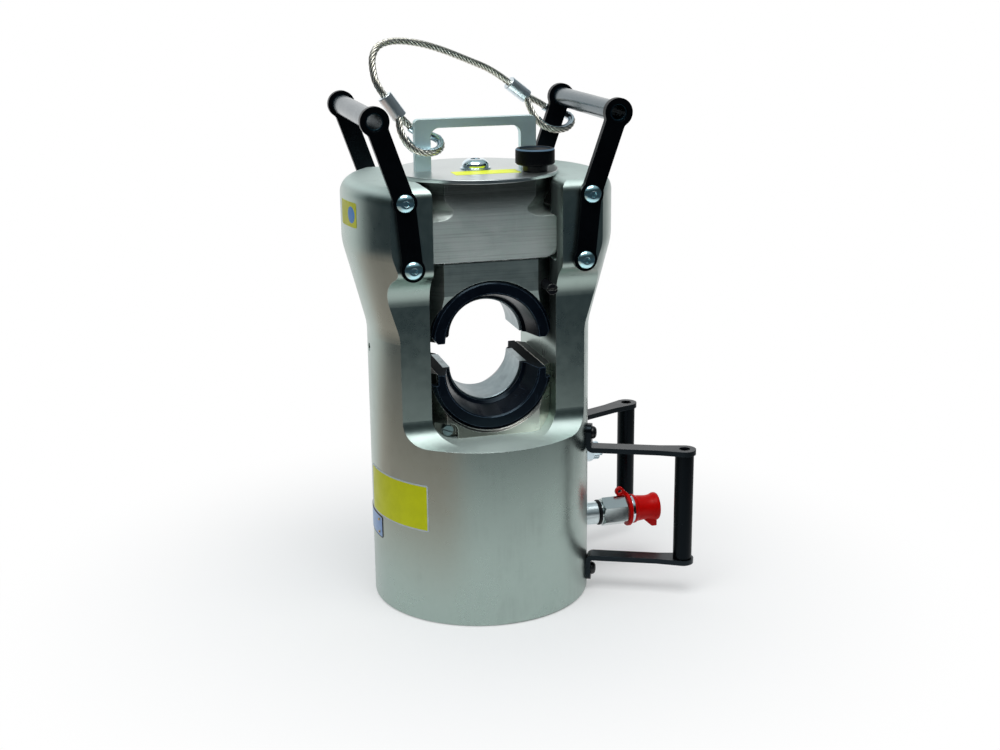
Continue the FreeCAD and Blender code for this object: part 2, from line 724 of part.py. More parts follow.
# Crosshead and what is on it
def crosshead():
    body = spin([
        (0, CROSS_BOTTOM_Z), (CROSS_R, CROSS_BOTTOM_Z, CROSS_ROUND),
        (CROSS_R, CROSS_LUG_TOP_Z, 1.5), (CROSS_GROOVE_R, CROSS_LUG_TOP_Z, 9.0),
        (CROSS_GROOVE_R, CROSS_GROOVE_Z, 3.0), (CROSS_NECK_R, CROSS_NECK_Z, 9.0),
        (CROSS_NECK_R, BODY_TOP_Z), (0, BODY_TOP_Z)])
    low = CROSS_BOTTOM_Z - 1.0
    high = BODY_TOP_Z + 1.0
    body = body.common(block(-CROSS_R - 1.0, CROSS_R + 1.0, -CROSS_HALF_Y, CROSS_HALF_Y, low, high))
    holes = [rod(BOLT_R + 0.2, low, high)]
    holes.append(rod(BUSH_R + 0.1, KNOB_FOOT_Z - 0.5, high, KNOB_X, KNOB_Y))
    holes.append(rod(TIP_R + 0.2, low, KNOB_FOOT_Z + 5.0, KNOB_X, KNOB_Y))
    for s in (-1, 1):
        holes.append(rod(4.0, BODY_TOP_Z - 12.0, high, 0.0, s * DOWEL_Y))
        holes.append(rod(4.2, BODY_TOP_Z - 6.0, high, s * BAIL_BOLT_X, 0.0))
    return body.cut(holes)


def cover_disc():
    top = BODY_TOP_Z + DISC_H
    body = spin([
        (0, BODY_TOP_Z), (DISC_R, BODY_TOP_Z, 0.8), (DISC_R, top, 0.8), (0, top)])
    low = BODY_TOP_Z - 1.0
    high = top + 1.0
    holes = [rod(BOLT_R + 0.2, low, high), rod(BUSH_R + 0.1, low, high, KNOB_X, KNOB_Y)]
    for s in (-1, 1):
        holes.append(rod(4.0, low, top - 1.2, 0.0, s * DOWEL_Y))
        holes.append(rod(4.2, low, high, s * BAIL_BOLT_X, 0.0))
        cone = Part.makeCone(7.2, 4.2, 3.0, V(s * BAIL_BOLT_X, 0, BODY_TOP_Z), V(0, 0, 1))
        holes.append(cone)
    return body.cut(holes)


def disc_dowels():
    out = []
    top = BODY_TOP_Z + DISC_H - 1.3
    for s in (-1, 1):
        out.append(rod(3.97, BODY_TOP_Z - 11.9, top, 0.0, s * DOWEL_Y))
    return out


def bail_handle():
    foot = BODY_TOP_Z + DISC_H
    a = BAIL_HALF
    b = BAIL_HALF - BAIL_LEG
    under = BAIL_TOP_Z - BAIL_BAR
    y = BAIL_HALF_Y
    body = prism([
        (-a, foot), (-b, foot), (-b, under, 10.0), (b, under, 10.0), (b, foot),
        (a, foot), (a, BAIL_TOP_Z, 5.0), (-a, BAIL_TOP_Z, 5.0)],
        place_xz(-y), V(0, 2 * y, 0))
    holes = [rod(3.55, foot - 1, foot + 24.0, s * BAIL_BOLT_X, 0.0) for s in (-1, 1)]
    return body.cut(holes)


def bail_screws():
    out = []
    z = BODY_TOP_Z
    for s in (-1, 1):
        one = spin([
            (0, z + 0.05), (7.1, z + 0.05), (3.5, z + 3.6), (3.5, z + DISC_H + 22.0),
            (0, z + DISC_H + 22.0)])
        one = one.cut(hex_socket(4.0, -z - 0.05, 2.0).mirror(V(0, 0, 0), V(0, 0, 1)))
        one.translate(V(s * BAIL_BOLT_X, 0, 0))
        out.append(one)
    return out


def thrust_washer():
    z = BODY_TOP_Z + DISC_H
    return tube_ring(10.3, 17.5, z, z + 1.6, 0.3)


def centre_bolt():
    z = BODY_TOP_Z + DISC_H + 1.6
    head = spin([
        (0, CROSS_BOTTOM_Z - BOLT_BITE), (9.2, CROSS_BOTTOM_Z - BOLT_BITE),
        (10.0, CROSS_BOTTOM_Z - BOLT_BITE + 0.8),
        (10.0, z), (17.3, z, 0.4), (17.3, z + 2.2, 1.0), (15.0, z + 2.8, 1.5),
        (13.2, z + 10.7, 6.5), (0, z + 10.7)])
    return head.cut(hex_socket(12.0, z + 10.7, 6.0))


def knob_bush():
    foot = BODY_TOP_Z + DISC_H
    body = spin([
        (0, KNOB_FOOT_Z), (BUSH_R, KNOB_FOOT_Z), (BUSH_R, foot), (14.2, foot, 0.8),
        (14.2, KNOB_LOW_Z - 0.3, 1.2), (0, KNOB_LOW_Z - 0.3)])
    body = body.cut([rod(6.2, KNOB_FOOT_Z - 1.0, foot + 0.8), rod(4.1, foot - 1.0, KNOB_LOW_Z)])
    body.translate(V(KNOB_X, KNOB_Y, 0))
    return body


def knob_plunger():
    z = KNOB_FOOT_Z + 8.0
    body = spin([
        (0, TIP_Z), (TIP_R - 0.8, TIP_Z), (TIP_R, TIP_Z + 0.8), (TIP_R, z), (6.1, z),
        (6.1, z + 4.0), (4.0, z + 4.0), (4.0, KNOB_LOW_Z), (KNOB_R - 1.6, KNOB_LOW_Z),
        (KNOB_R, KNOB_LOW_Z + 1.6), (KNOB_R, KNOB_HIGH_Z - 1.6, 0.6),
        (KNOB_R - 1.6, KNOB_HIGH_Z), (KNOB_R - 4.5, KNOB_HIGH_Z), (KNOB_R - 5.0, KNOB_HIGH_Z - 1.2),
        (0, KNOB_HIGH_Z - 1.2)])
    body.translate(V(KNOB_X, KNOB_Y, 0))
    return body


def knob_spring():
    foot = BODY_TOP_Z + DISC_H
    body = tube_ring(4.2, 6.0, KNOB_FOOT_Z + 12.0, foot + 0.8)
    body.translate(V(KNOB_X, KNOB_Y, 0))
    return body


# Upper handles
def strip(p, q, width, y):
    """Straight piece of a bar between two centres."""
    d = V(q[0] - p[0], 0, q[1] - p[1])
    n = unit(V(-d.z, 0, d.x)) * (width / 2.0)
    pts = [(p[0] + n.x, p[1] + n.z), (q[0] + n.x, q[1] + n.z),
           (q[0] - n.x, q[1] - n.z), (p[0] - n.x, p[1] - n.z)]
    return prism(pts, place_xz(y), V(0, BAR_T, 0))


def bar_plate():
    """Front right bar, its eye over the grip and its two lobes under the screws."""
    y = -FLAT_HIGH_Y - BAR_T
    eye = (EYE_X, EYE_Z)
    body = rod_y(EYE_R, y, y + BAR_T, EYE_X, EYE_Z)
    others = [strip(eye, BOLT_HIGH, BAR_W, y), strip(BOLT_HIGH, BOLT_LOW, BAR_W, y)]
    for x, z in (BOLT_HIGH, BOLT_LOW):
        others.append(rod_y(LOBE_R, y, y + BAR_T, x, z))
    body = body.fuse(others).removeSplitter()
    inner = []
    for edge in body.Edges:
        if abs(edge.Length - BAR_T) > 0.01 or len(edge.Vertexes) < 2:
            continue
        a = edge.Vertexes[0].Point
        b = edge.Vertexes[1].Point
        if abs(a.x - b.x) + abs(a.z - b.z) < 0.001:
            inner.append(edge)
    body = body.makeFillet(7.0, inner)
    holes = [rod_y(GRIP_TENON_R + 0.05, y - 1, y + BAR_T + 1, EYE_X, EYE_Z)]
    for x, z in (BOLT_HIGH, BOLT_LOW):
        holes.append(rod_y(5.4, y - 1, y + BAR_T + 1, x, z))
    return body.cut(holes)


def upper_grip():
    """Tube between the two eyes of one upper handle, its ends turned down."""
    e = FLAT_HIGH_Y - 0.05
    t = FLAT_HIGH_Y + BAR_T - 1.6
    half = [
        (GRIP_BORE_R, -t), (GRIP_TENON_R - 0.6, -t), (GRIP_TENON_R, -t + 0.6),
        (GRIP_TENON_R, -e), (GRIP_R, -e), (GRIP_R, e), (GRIP_TENON_R, e),
        (GRIP_TENON_R, t - 0.6), (GRIP_TENON_R - 0.6, t), (GRIP_BORE_R, t)]
    face = Part.Face(corner_wire(half, place_xy(0.0)))
    body = face.revolve(V(0, 0, 0), V(0, 1, 0), 360)
    body.translate(V(EYE_X, 0, EYE_Z))
    return body


def bar_screws():
    out = []
    one = dome_screw(10.0, 5.2, 4.95, BAR_T + 22.0, 6.0)
    y = FLAT_HIGH_Y + BAR_T
    for x, z in (BOLT_HIGH, BOLT_LOW):
        for sx in (-1, 1):
            out.append(aim(one, V(sx * x, -y, z), V(0, -1, 0)))
            out.append(aim(one, V(sx * x, y, z), V(0, 1, 0)))
    return out


# Side handles
def side_plate(low_z, tab_up):
    """Bracket in the XZ plane: flat arm with an eye, tab up or down on the frame."""
    t = SIDE_T
    a = SIDE_SEAT
    hw = SIDE_W / 2.0
    if tab_up:
        z0 = low_z
        prof = [(a, z0, 8.0), (SIDE_RHO, z0), (SIDE_RHO, z0 + t), (a + t, z0 + t, 2.0),
                (a + t, z0 + t + SIDE_TAB), (a, z0 + t + SIDE_TAB)]
        end = z0 + t + SIDE_TAB
        hole_z = z0 + t + 16.0
    else:
        z0 = low_z
        end = z0 - SIDE_TAB
        prof = [(a, z0 + t, 8.0), (SIDE_RHO, z0 + t), (SIDE_RHO, z0), (a + t, z0, 2.0),
                (a + t, end), (a, end)]
        hole_z = z0 - 13.5
    body = prism(prof, place_xz(-hw), V(0, 2 * hw, 0))
    step = 9.0 if tab_up else -9.0
    tip = prism([
        (-hw - 1, end - step), (-hw, end - step), (-hw, end, 8.0), (hw, end, 8.0),
        (hw, end - step), (hw + 1, end - step), (hw + 1, end + step), (-hw - 1, end + step)],
        place_yz(a - 1.0), V(t + 2.0, 0, 0))
    body = body.cut(tip)
    neck = prism([
        (SIDE_RHO - 30.0, -hw), (SIDE_RHO, -SIDE_EYE_R), (SIDE_RHO, SIDE_EYE_R),
        (SIDE_RHO - 30.0, hw)], place_xy(z0), V(0, 0, t))
    body = body.fuse([rod(SIDE_EYE_R, z0, z0 + t, SIDE_RHO, 0.0), neck]).removeSplitter()
    return body.cut([rod(SIDE_TENON_R + 0.05, z0 - 1, z0 + t + 1, SIDE_RHO, 0.0),
                     rod_x(4.3, a - 1, a + t + 1, 0, hole_z)])


def side_grip():
    z0 = SIDE_LOW_Z
    z1 = SIDE_HIGH_Z
    t = SIDE_T - 1.5
    body = spin([
        (0, z0 - t), (SIDE_TENON_R, z0 - t), (SIDE_TENON_R, z0 + 0.05), (SIDE_GRIP_R, z0 + 0.05),
        (SIDE_GRIP_R, z1 - 0.05), (SIDE_TENON_R, z1 - 0.05), (SIDE_TENON_R, z1 + t), (0, z1 + t)])
    body = body.cut([rod(4.0, z0 - t - 1, z0 + 12), rod(4.0, z1 - 12, z1 + t + 1)])
    body.translate(V(SIDE_RHO, 0, 0))
    return body


def side_screws():
    out = []
    one = dome_screw(7.5, 5.5, 3.95, SIDE_T + 19.0, 5.0)
    for side in (-1, 1):
        d = side_point(1.0, 0.0, side)
        for z in (SIDE_HIGH_Z + SIDE_T + 16.0, SIDE_LOW_Z - SIDE_T - 13.5):
            out.append(aim(one, side_point(SIDE_SEAT + SIDE_T, z, side), d))
    return out


# Coupler
def coupler_nipple():
    a = PORT_SEAT
    body = spin([
        (3.0, a - 25.0), (9.2, a - 25.0), (10.0, a - 24.2), (10.0, a), (NIPPLE_R, a, 0.8),
        (NIPPLE_R, NIPPLE_END_X, 0.8), (9.0, NIPPLE_END_X), (9.0, COUPLER_X + 13.0),
        (3.0, COUPLER_X + 13.0)])
    return along_x(body, 0, 0, PORT_Z)


def coupler_ring():
    return along_x(tube_ring(9.05, 15.5, NIPPLE_END_X, COUPLER_X, 1.2), 0, 0, PORT_Z)


def coupler_body():
    """Hexagon body with a turned collar behind it and the spout in front."""
    a = COUPLER_X
    hexa = hex_prism(32.0, HEX_X, HEX_END_X, 0.9)
    rest = spin([
        (0, a), (14.2, a, 0.5), (14.2, a + 2.5), (14.2, HEX_END_X - 0.5),
        (SPOUT_R, HEX_END_X - 0.5), (SPOUT_R, SPOUT_END_X, 1.0), (0, SPOUT_END_X)])
    body = hexa.fuse(rest).removeSplitter()
    body = body.cut([rod(9.05, a - 1.0, a + 13.3), rod(3.0, a + 9.0, HEX_END_X + 2.0),
                     rod(7.0, HEX_END_X + 1.0, SPOUT_END_X + 2.0)])
    return along_x(body, 0, 0, PORT_Z)


def coupler_poppet():
    a = HEX_END_X
    body = spin([
        (0, a + 2.0), (6.9, a + 2.0), (6.9, a + 6.0), (3.5, a + 6.0), (3.5, a + 15.0),
        (6.8, a + 19.5), (6.8, SPOUT_END_X - 2.0), (0, SPOUT_END_X - 2.0)])
    return along_x(body, 0, 0, PORT_Z)


def coupler_collar():
    return along_x(tube_ring(SPOUT_R + 0.05, 17.0, COLLAR_X, COLLAR_END_X, 0.8), 0, 0, PORT_Z)


def tether_ring():
    """Soft ring round the spout with a standing eyelet for the cap's strap."""
    a = HEX_END_X + 0.1
    b = TETHER_END_X
    x = a - 7.3
    z = PORT_Z + 24.4
    ring = along_x(tube_ring(SPOUT_R + 0.1, 20.4, a, b, 1.2), 0, 0, PORT_Z)
    eye = rod_y(5.6, -2.0, 2.0, x, z)
    neck = prism([
        (x + 4.2, PORT_Z + 19.0), (b - 0.4, PORT_Z + 15.0), (b - 0.4, PORT_Z + 20.2),
        (x + 4.7, PORT_Z + 27.0)], place_xz(-2.0), V(0, 4.0, 0))
    keep = block(x - 7.0, b, -25, 25, PORT_Z + 18.7, PORT_Z + 40).fuse(
        block(a, b, -25, 25, PORT_Z - 30, PORT_Z + 19))
    body = ring.fuse([eye, neck, strap_lug(a, b, 18.0)])
    body = body.common(keep).removeSplitter()
    return body.cut(rod_y(2.6, -5.0, 5.0, x, z))


def dust_cap():
    body = spin([
        (SPOUT_R + 0.1, CAP_X), (CAP_R, CAP_X, 1.2), (CAP_R, CAP_X + 9.0),
        (CAP_R + 0.6, CAP_X + 16.0, 8.0), (CAP_FLARE_R, CAP_END_X, 1.4), (12.0, CAP_END_X, 2.0),
        (10.0, CAP_END_X - 4.0, 2.0), (0, CAP_END_X - 4.0), (0, SPOUT_END_X + 1.0),
        (SPOUT_R + 0.1, SPOUT_END_X + 1.0)])
    body = along_x(body, 0, 0, PORT_Z)
    tab = prism([
        (CAP_END_X - 14.0, PORT_Z - 15.0), (CAP_END_X - 0.3, PORT_Z - 10.0),
        (CAP_END_X - 0.3, PORT_Z - 26.0, 1.5), (CAP_END_X - 4.0, PORT_Z - 26.0, 1.5),
        (CAP_END_X - 7.0, PORT_Z - 19.0, 3.0)], place_xz(-6.0), V(0, 12.0, 0))
    lug = strap_lug(CAP_END_X - 5.0, CAP_END_X - 0.8, 15.0)
    return body.fuse([tab, lug]).removeSplitter()


def strap_lug(x0, x1, reach):
    """Small block behind a soft piece, into which the strap runs."""
    return block(x0, x1, reach, STRAP_Y + STRAP_T, PORT_Z - 3.5, PORT_Z + 3.5)


def cap_strap():
    """Flat strap behind the coupler from the tether ring to the cap."""
    return block(TETHER_END_X, CAP_END_X - 5.0, STRAP_Y, STRAP_Y + STRAP_T, PORT_Z - 3.5, PORT_Z + 3.5)


def relief_plug():
    a = PORT_SEAT
    head = hex_prism(24.0, a, a + 13.0, 0.8)
    rest = spin([
        (0, a - 24.0), (9.2, a - 24.0), (10.0, a - 23.2), (10.0, a + 0.5), (10.0, a + 12.5),
        (11.0, a + 12.5), (11.0, a + 21.0, 1.0), (7.0, a + 21.0), (7.0, a + 26.0, 1.0),
        (0, a + 26.0)])
    body = head.fuse(rest).removeSplitter()
    return along_x(body, 0, 0, PLUG_Z)


def column_screw():
    """Set screw sunk in the left column."""
    x0 = -BODY_R + 3.0
    body = rod_x(4.95, x0, x0 + 14.9, 0, SCREW_HOLE_Z)
    socket = along_x(hex_prism(5.0, -1.0, 4.0, 0.01), x0, 0, SCREW_HOLE_Z)
    return body.cut(socket)


# Rope
ROPE_ROUTE = [
    V(-112.5, 6.0, 612.0), V(-112.0, 13.0, 629.0), V(-102.0, 20.5, 641.5),
    V(-77.5, 29.5, 644.5), V(-38.5, 45.5, 637.0), V(11.0, 70.5, 618.0)]

# Each eye goes in front of its bar, round it and back behind it.
LEFT_EYE = [
    V(-88.0, -7.0, 555.0), V(-85.0, -10.5, 543.0), V(-78.0, -12.2, 532.5),
    V(-68.5, -12.6, 525.5), V(-57.3, -12.3, 523.2), V(-45.5, -9.5, 524.3),
    V(-38.5, -1.0, 528.5), V(-37.5, 7.0, 534.5), V(-43.5, 11.8, 539.0),
    V(-55.9, 12.8, 542.8), V(-68.0, 12.2, 547.5), V(-77.0, 9.3, 556.5)]
RIGHT_EYE = [
    V(90.9, 95.5, 562.5), V(96.1, 91.5, 549.1), V(104.9, 88.8, 538.2),
    V(115.6, 88.2, 532.8), V(126.9, 88.6, 531.1), V(138.5, 92.0, 532.7),
    V(147.0, 99.5, 537.6), V(149.0, 107.0, 543.8), V(142.0, 112.3, 548.5),
    V(131.1, 113.6, 551.0), V(119.7, 112.8, 555.7), V(104.5, 108.3, 565.0)]


def open_route(points, note):
    """Straight runs joined by tangent arcs; prints the arcs' radii and the length."""
    edges = []
    last = points[0]
    radii = []
    for i in range(1, len(points) - 1):
        here = points[i]
        u = points[i - 1] - here
        w = points[i + 1] - here
        cut = 0.45 * min(u.Length, w.Length)
        u = unit(u)
        w = unit(w)
        half = u.getAngle(w) / 2.0
        radius = cut * math.tan(half)
        start = here + u * cut
        stop = here + w * cut
        mid = here + unit(u + w) * (radius / math.sin(half) - radius)
        edges.append(Part.LineSegment(last, start).toShape())
        edges.append(Part.Arc(start, mid, stop).toShape())
        last = stop
        radii.append(round(radius, 1))
    edges.append(Part.LineSegment(last, points[-1]).toShape())
    print(note, "arc radii", radii, "length", round(Part.Wire(edges).Length, 1))
    return edges


def tube_along(edges, r):
    first = edges[0].valueAt(edges[0].FirstParameter)
    way = edges[0].tangentAt(edges[0].FirstParameter)
    circle = Part.makeCircle(r, first, way)
    return Part.Wire(edges).makePipeShell([Part.Wire([circle])], True, True)


def right_mouth():
    return RIGHT_FOOT - unit(RIGHT_FALL) * FERRULE_L


def left_foot():
    return LEFT_MOUTH + unit(LEFT_FALL) * FERRULE_L


def lanyard_rope():
    first = LEFT_MOUTH - unit(LEFT_FALL) * LEFT_LEAD
    last = right_mouth() - unit(RIGHT_FALL) * RIGHT_LEAD
    points = [LEFT_MOUTH, first] + ROPE_ROUTE + [last, right_mouth()]
    return tube_along(open_route(points, "rope"), ROPE_R)


def eye_route(foot, fall, bends, note):
    """Eye that leaves the ferrule in front and comes back into it behind."""
    inside = foot - unit(fall) * EYE_LEAD
    points = [inside - V(0, STRAND, 0)] + bends + [inside + V(0, STRAND, 0)]
    return open_route(points, note)


def eye_rope(foot, fall, bends, note):
    """Rope of an eye, cut square just short of the ferrule's end."""
    rope = tube_along(eye_route(foot, fall, bends, note), ROPE_R)
    end = foot + unit(fall) * EYE_GAP
    return rope.cut(Part.makeCylinder(FERRULE_R + 6.0, 2 * EYE_LEAD, end, unit(fall) * -1.0))


def thimble(foot, fall, bends, note):
    """Channel that lines the inside of an eye, away from the ferrule."""
    edges = eye_route(foot, fall, bends, note)[3:-3]
    shell = tube_along(edges, ROPE_R + THIMBLE_FIT + THIMBLE_T)
    shell = shell.cut(tube_along(edges, ROPE_R + THIMBLE_FIT))
    normal = V(0, 0, 0)
    middle = V(0, 0, 0)
    for i in range(len(bends)):
        normal = normal + bends[i - 1].cross(bends[i])
        middle = middle + bends[i] * (1.0 / len(bends))
    normal = unit(normal)
    outline = []
    for edge in edges:
        spot = edge.valueAt(edge.LastParameter)
        outline.append(spot - normal * (spot - middle).dot(normal) - normal * 25.0)
    inside = Part.Face(Part.makePolygon(outline + [outline[0]])).extrude(normal * 50.0)
    return shell.common(inside)


def ferrule(mouth, foot):
    """Pressed sleeve round the two strands below its mouth."""
    axis = unit(foot - mouth)
    length = (foot - mouth).Length
    body = spin([
        (0, 0), (FERRULE_R, 0, 0.8), (FERRULE_R, length, 0.8), (0, length)])
    return aim(body, mouth, axis)


def build():
    save("frame_body", frame_body())
    save("base_plug", base_plug())
    save("plug_ring", plug_ring())
    save("ram_piston", ram_piston())
    save("piston_seal", piston_seal())
    save("wear_ring", wear_ring())
    save("rod_wiper", rod_wiper())
    save("return_spring", return_spring())
    save("lower_die_holder", lower_die_holder())
    save("lower_adapter", lower_adapter())
    save("lower_insert", lower_insert())
    save("holder_bolts", holder_bolts())
    save("lower_release_pin", cam_pin(LOWER_CAM_X, LOWER_CAM_Z, LOWER_RING_Z, LOWER_PIN_Y, 20, 1))
    save("lower_lock_plunger", lock_plunger(LOWER_CAM_X, LOWER_CAM_Z, LOWER_RING_Z))
    save("upper_die_holder", upper_die_holder())
    save("upper_adapter", upper_adapter())
    save("upper_insert", upper_insert())
    save("upper_release_pin", cam_pin(UPPER_CAM_X, UPPER_CAM_Z, UPPER_RING_Z, UPPER_PIN_Y, 0, 1))
    save("upper_lock_plunger", lock_plunger(UPPER_CAM_X, UPPER_CAM_Z, UPPER_RING_Z))
    save("crosshead", crosshead())
    save("cover_disc", cover_disc())
    save("disc_dowels", disc_dowels())
    save("bail_handle", bail_handle())
    save("bail_screws", bail_screws())
    save("thrust_washer", thrust_washer())
    save("centre_bolt", centre_bolt())
    save("knob_bush", knob_bush())
    save("knob_plunger", knob_plunger())
    save("knob_spring", knob_spring())
    plate = bar_plate()
    rear = plate.mirror(V(0, 0, 0), V(0, 1, 0))
    save("bar_front_right", plate)
    save("bar_front_left", mirror_x(plate))
    save("bar_rear_right", rear)
    save("bar_rear_left", mirror_x(rear))
    grip = upper_grip()
    save("upper_grip_right", grip)
    save("upper_grip_left", mirror_x(grip))
    save("bar_screws", bar_screws())
    high = side_plate(SIDE_HIGH_Z, True)
    low = side_plate(SIDE_LOW_Z - SIDE_T, False)
    bar = side_grip()
    for side, name in ((-1, "front"), (1, "rear")):
        save("side_upper_bracket_" + name, spun_side(high, side))
        save("side_lower_bracket_" + name, spun_side(low, side))
        save("side_grip_" + name, spun_side(bar, side))
    save("side_screws", side_screws())
    save("coupler_nipple", coupler_nipple())
    save("coupler_ring", coupler_ring())
    save("coupler_body", coupler_body())
    save("coupler_poppet", coupler_poppet())
    save("coupler_collar", coupler_collar())
    save("tether_ring", tether_ring())
    save("dust_cap", dust_cap())
    save("cap_strap", cap_strap())
    save("relief_plug", relief_plug())
    save("column_screw", column_screw())
    save("lanyard_rope", lanyard_rope())
    save("lanyard_eye_left", eye_rope(left_foot(), LEFT_FALL, LEFT_EYE, "left eye"))
    save("lanyard_eye_right", eye_rope(RIGHT_FOOT, RIGHT_FALL, RIGHT_EYE, "right eye"))
    save("thimble_left", thimble(left_foot(), LEFT_FALL, LEFT_EYE, "left thimble"))
    save("thimble_right", thimble(RIGHT_FOOT, RIGHT_FALL, RIGHT_EYE, "right thimble"))
    save("ferrule_left", ferrule(LEFT_MOUTH, left_foot()))
    save("ferrule_right", ferrule(right_mouth(), RIGHT_FOOT))


build()
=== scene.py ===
"""Looks of the hydraulic crimping head.

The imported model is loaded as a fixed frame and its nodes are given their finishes. The steel
rope and its eyes, the rubber cap and its strap, the domed screws and bolt, the knob's coil and
the bare plates are modelled on it, and a white studio is built round it.
"""

import json
import logging
import math
from dataclasses import dataclass
from enum import Enum

import bpy
from mathutils import Matrix, Vector

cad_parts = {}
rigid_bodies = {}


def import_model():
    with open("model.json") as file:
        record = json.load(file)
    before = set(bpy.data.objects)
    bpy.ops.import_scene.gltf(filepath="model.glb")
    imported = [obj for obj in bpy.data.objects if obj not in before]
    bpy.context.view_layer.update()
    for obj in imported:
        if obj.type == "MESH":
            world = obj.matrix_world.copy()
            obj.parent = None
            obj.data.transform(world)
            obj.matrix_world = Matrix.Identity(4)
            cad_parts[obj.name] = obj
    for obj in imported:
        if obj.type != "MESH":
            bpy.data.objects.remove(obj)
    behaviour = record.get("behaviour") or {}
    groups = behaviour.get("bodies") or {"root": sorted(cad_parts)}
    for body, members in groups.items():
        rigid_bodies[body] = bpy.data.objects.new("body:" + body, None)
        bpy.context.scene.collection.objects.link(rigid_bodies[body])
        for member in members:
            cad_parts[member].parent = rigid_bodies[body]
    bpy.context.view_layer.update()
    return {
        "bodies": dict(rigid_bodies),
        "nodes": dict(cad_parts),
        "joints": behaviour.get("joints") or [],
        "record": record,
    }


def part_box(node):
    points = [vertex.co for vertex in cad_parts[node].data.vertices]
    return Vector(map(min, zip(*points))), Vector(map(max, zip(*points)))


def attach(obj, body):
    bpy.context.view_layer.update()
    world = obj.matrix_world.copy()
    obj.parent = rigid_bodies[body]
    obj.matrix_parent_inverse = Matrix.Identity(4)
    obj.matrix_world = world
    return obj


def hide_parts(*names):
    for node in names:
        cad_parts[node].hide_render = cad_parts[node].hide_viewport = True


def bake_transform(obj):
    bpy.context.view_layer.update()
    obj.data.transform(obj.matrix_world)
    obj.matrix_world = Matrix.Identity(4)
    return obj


log = logging.getLogger("crimping_head")

Colour = tuple[float, float, float]
Point = tuple[float, float, float]
Span = tuple[float, float]


# Modelling by operators


class Pick(Enum):
    """What a selection in edit mode is made of."""

    FACES = "FACE"
    CORNERS = "VERT"


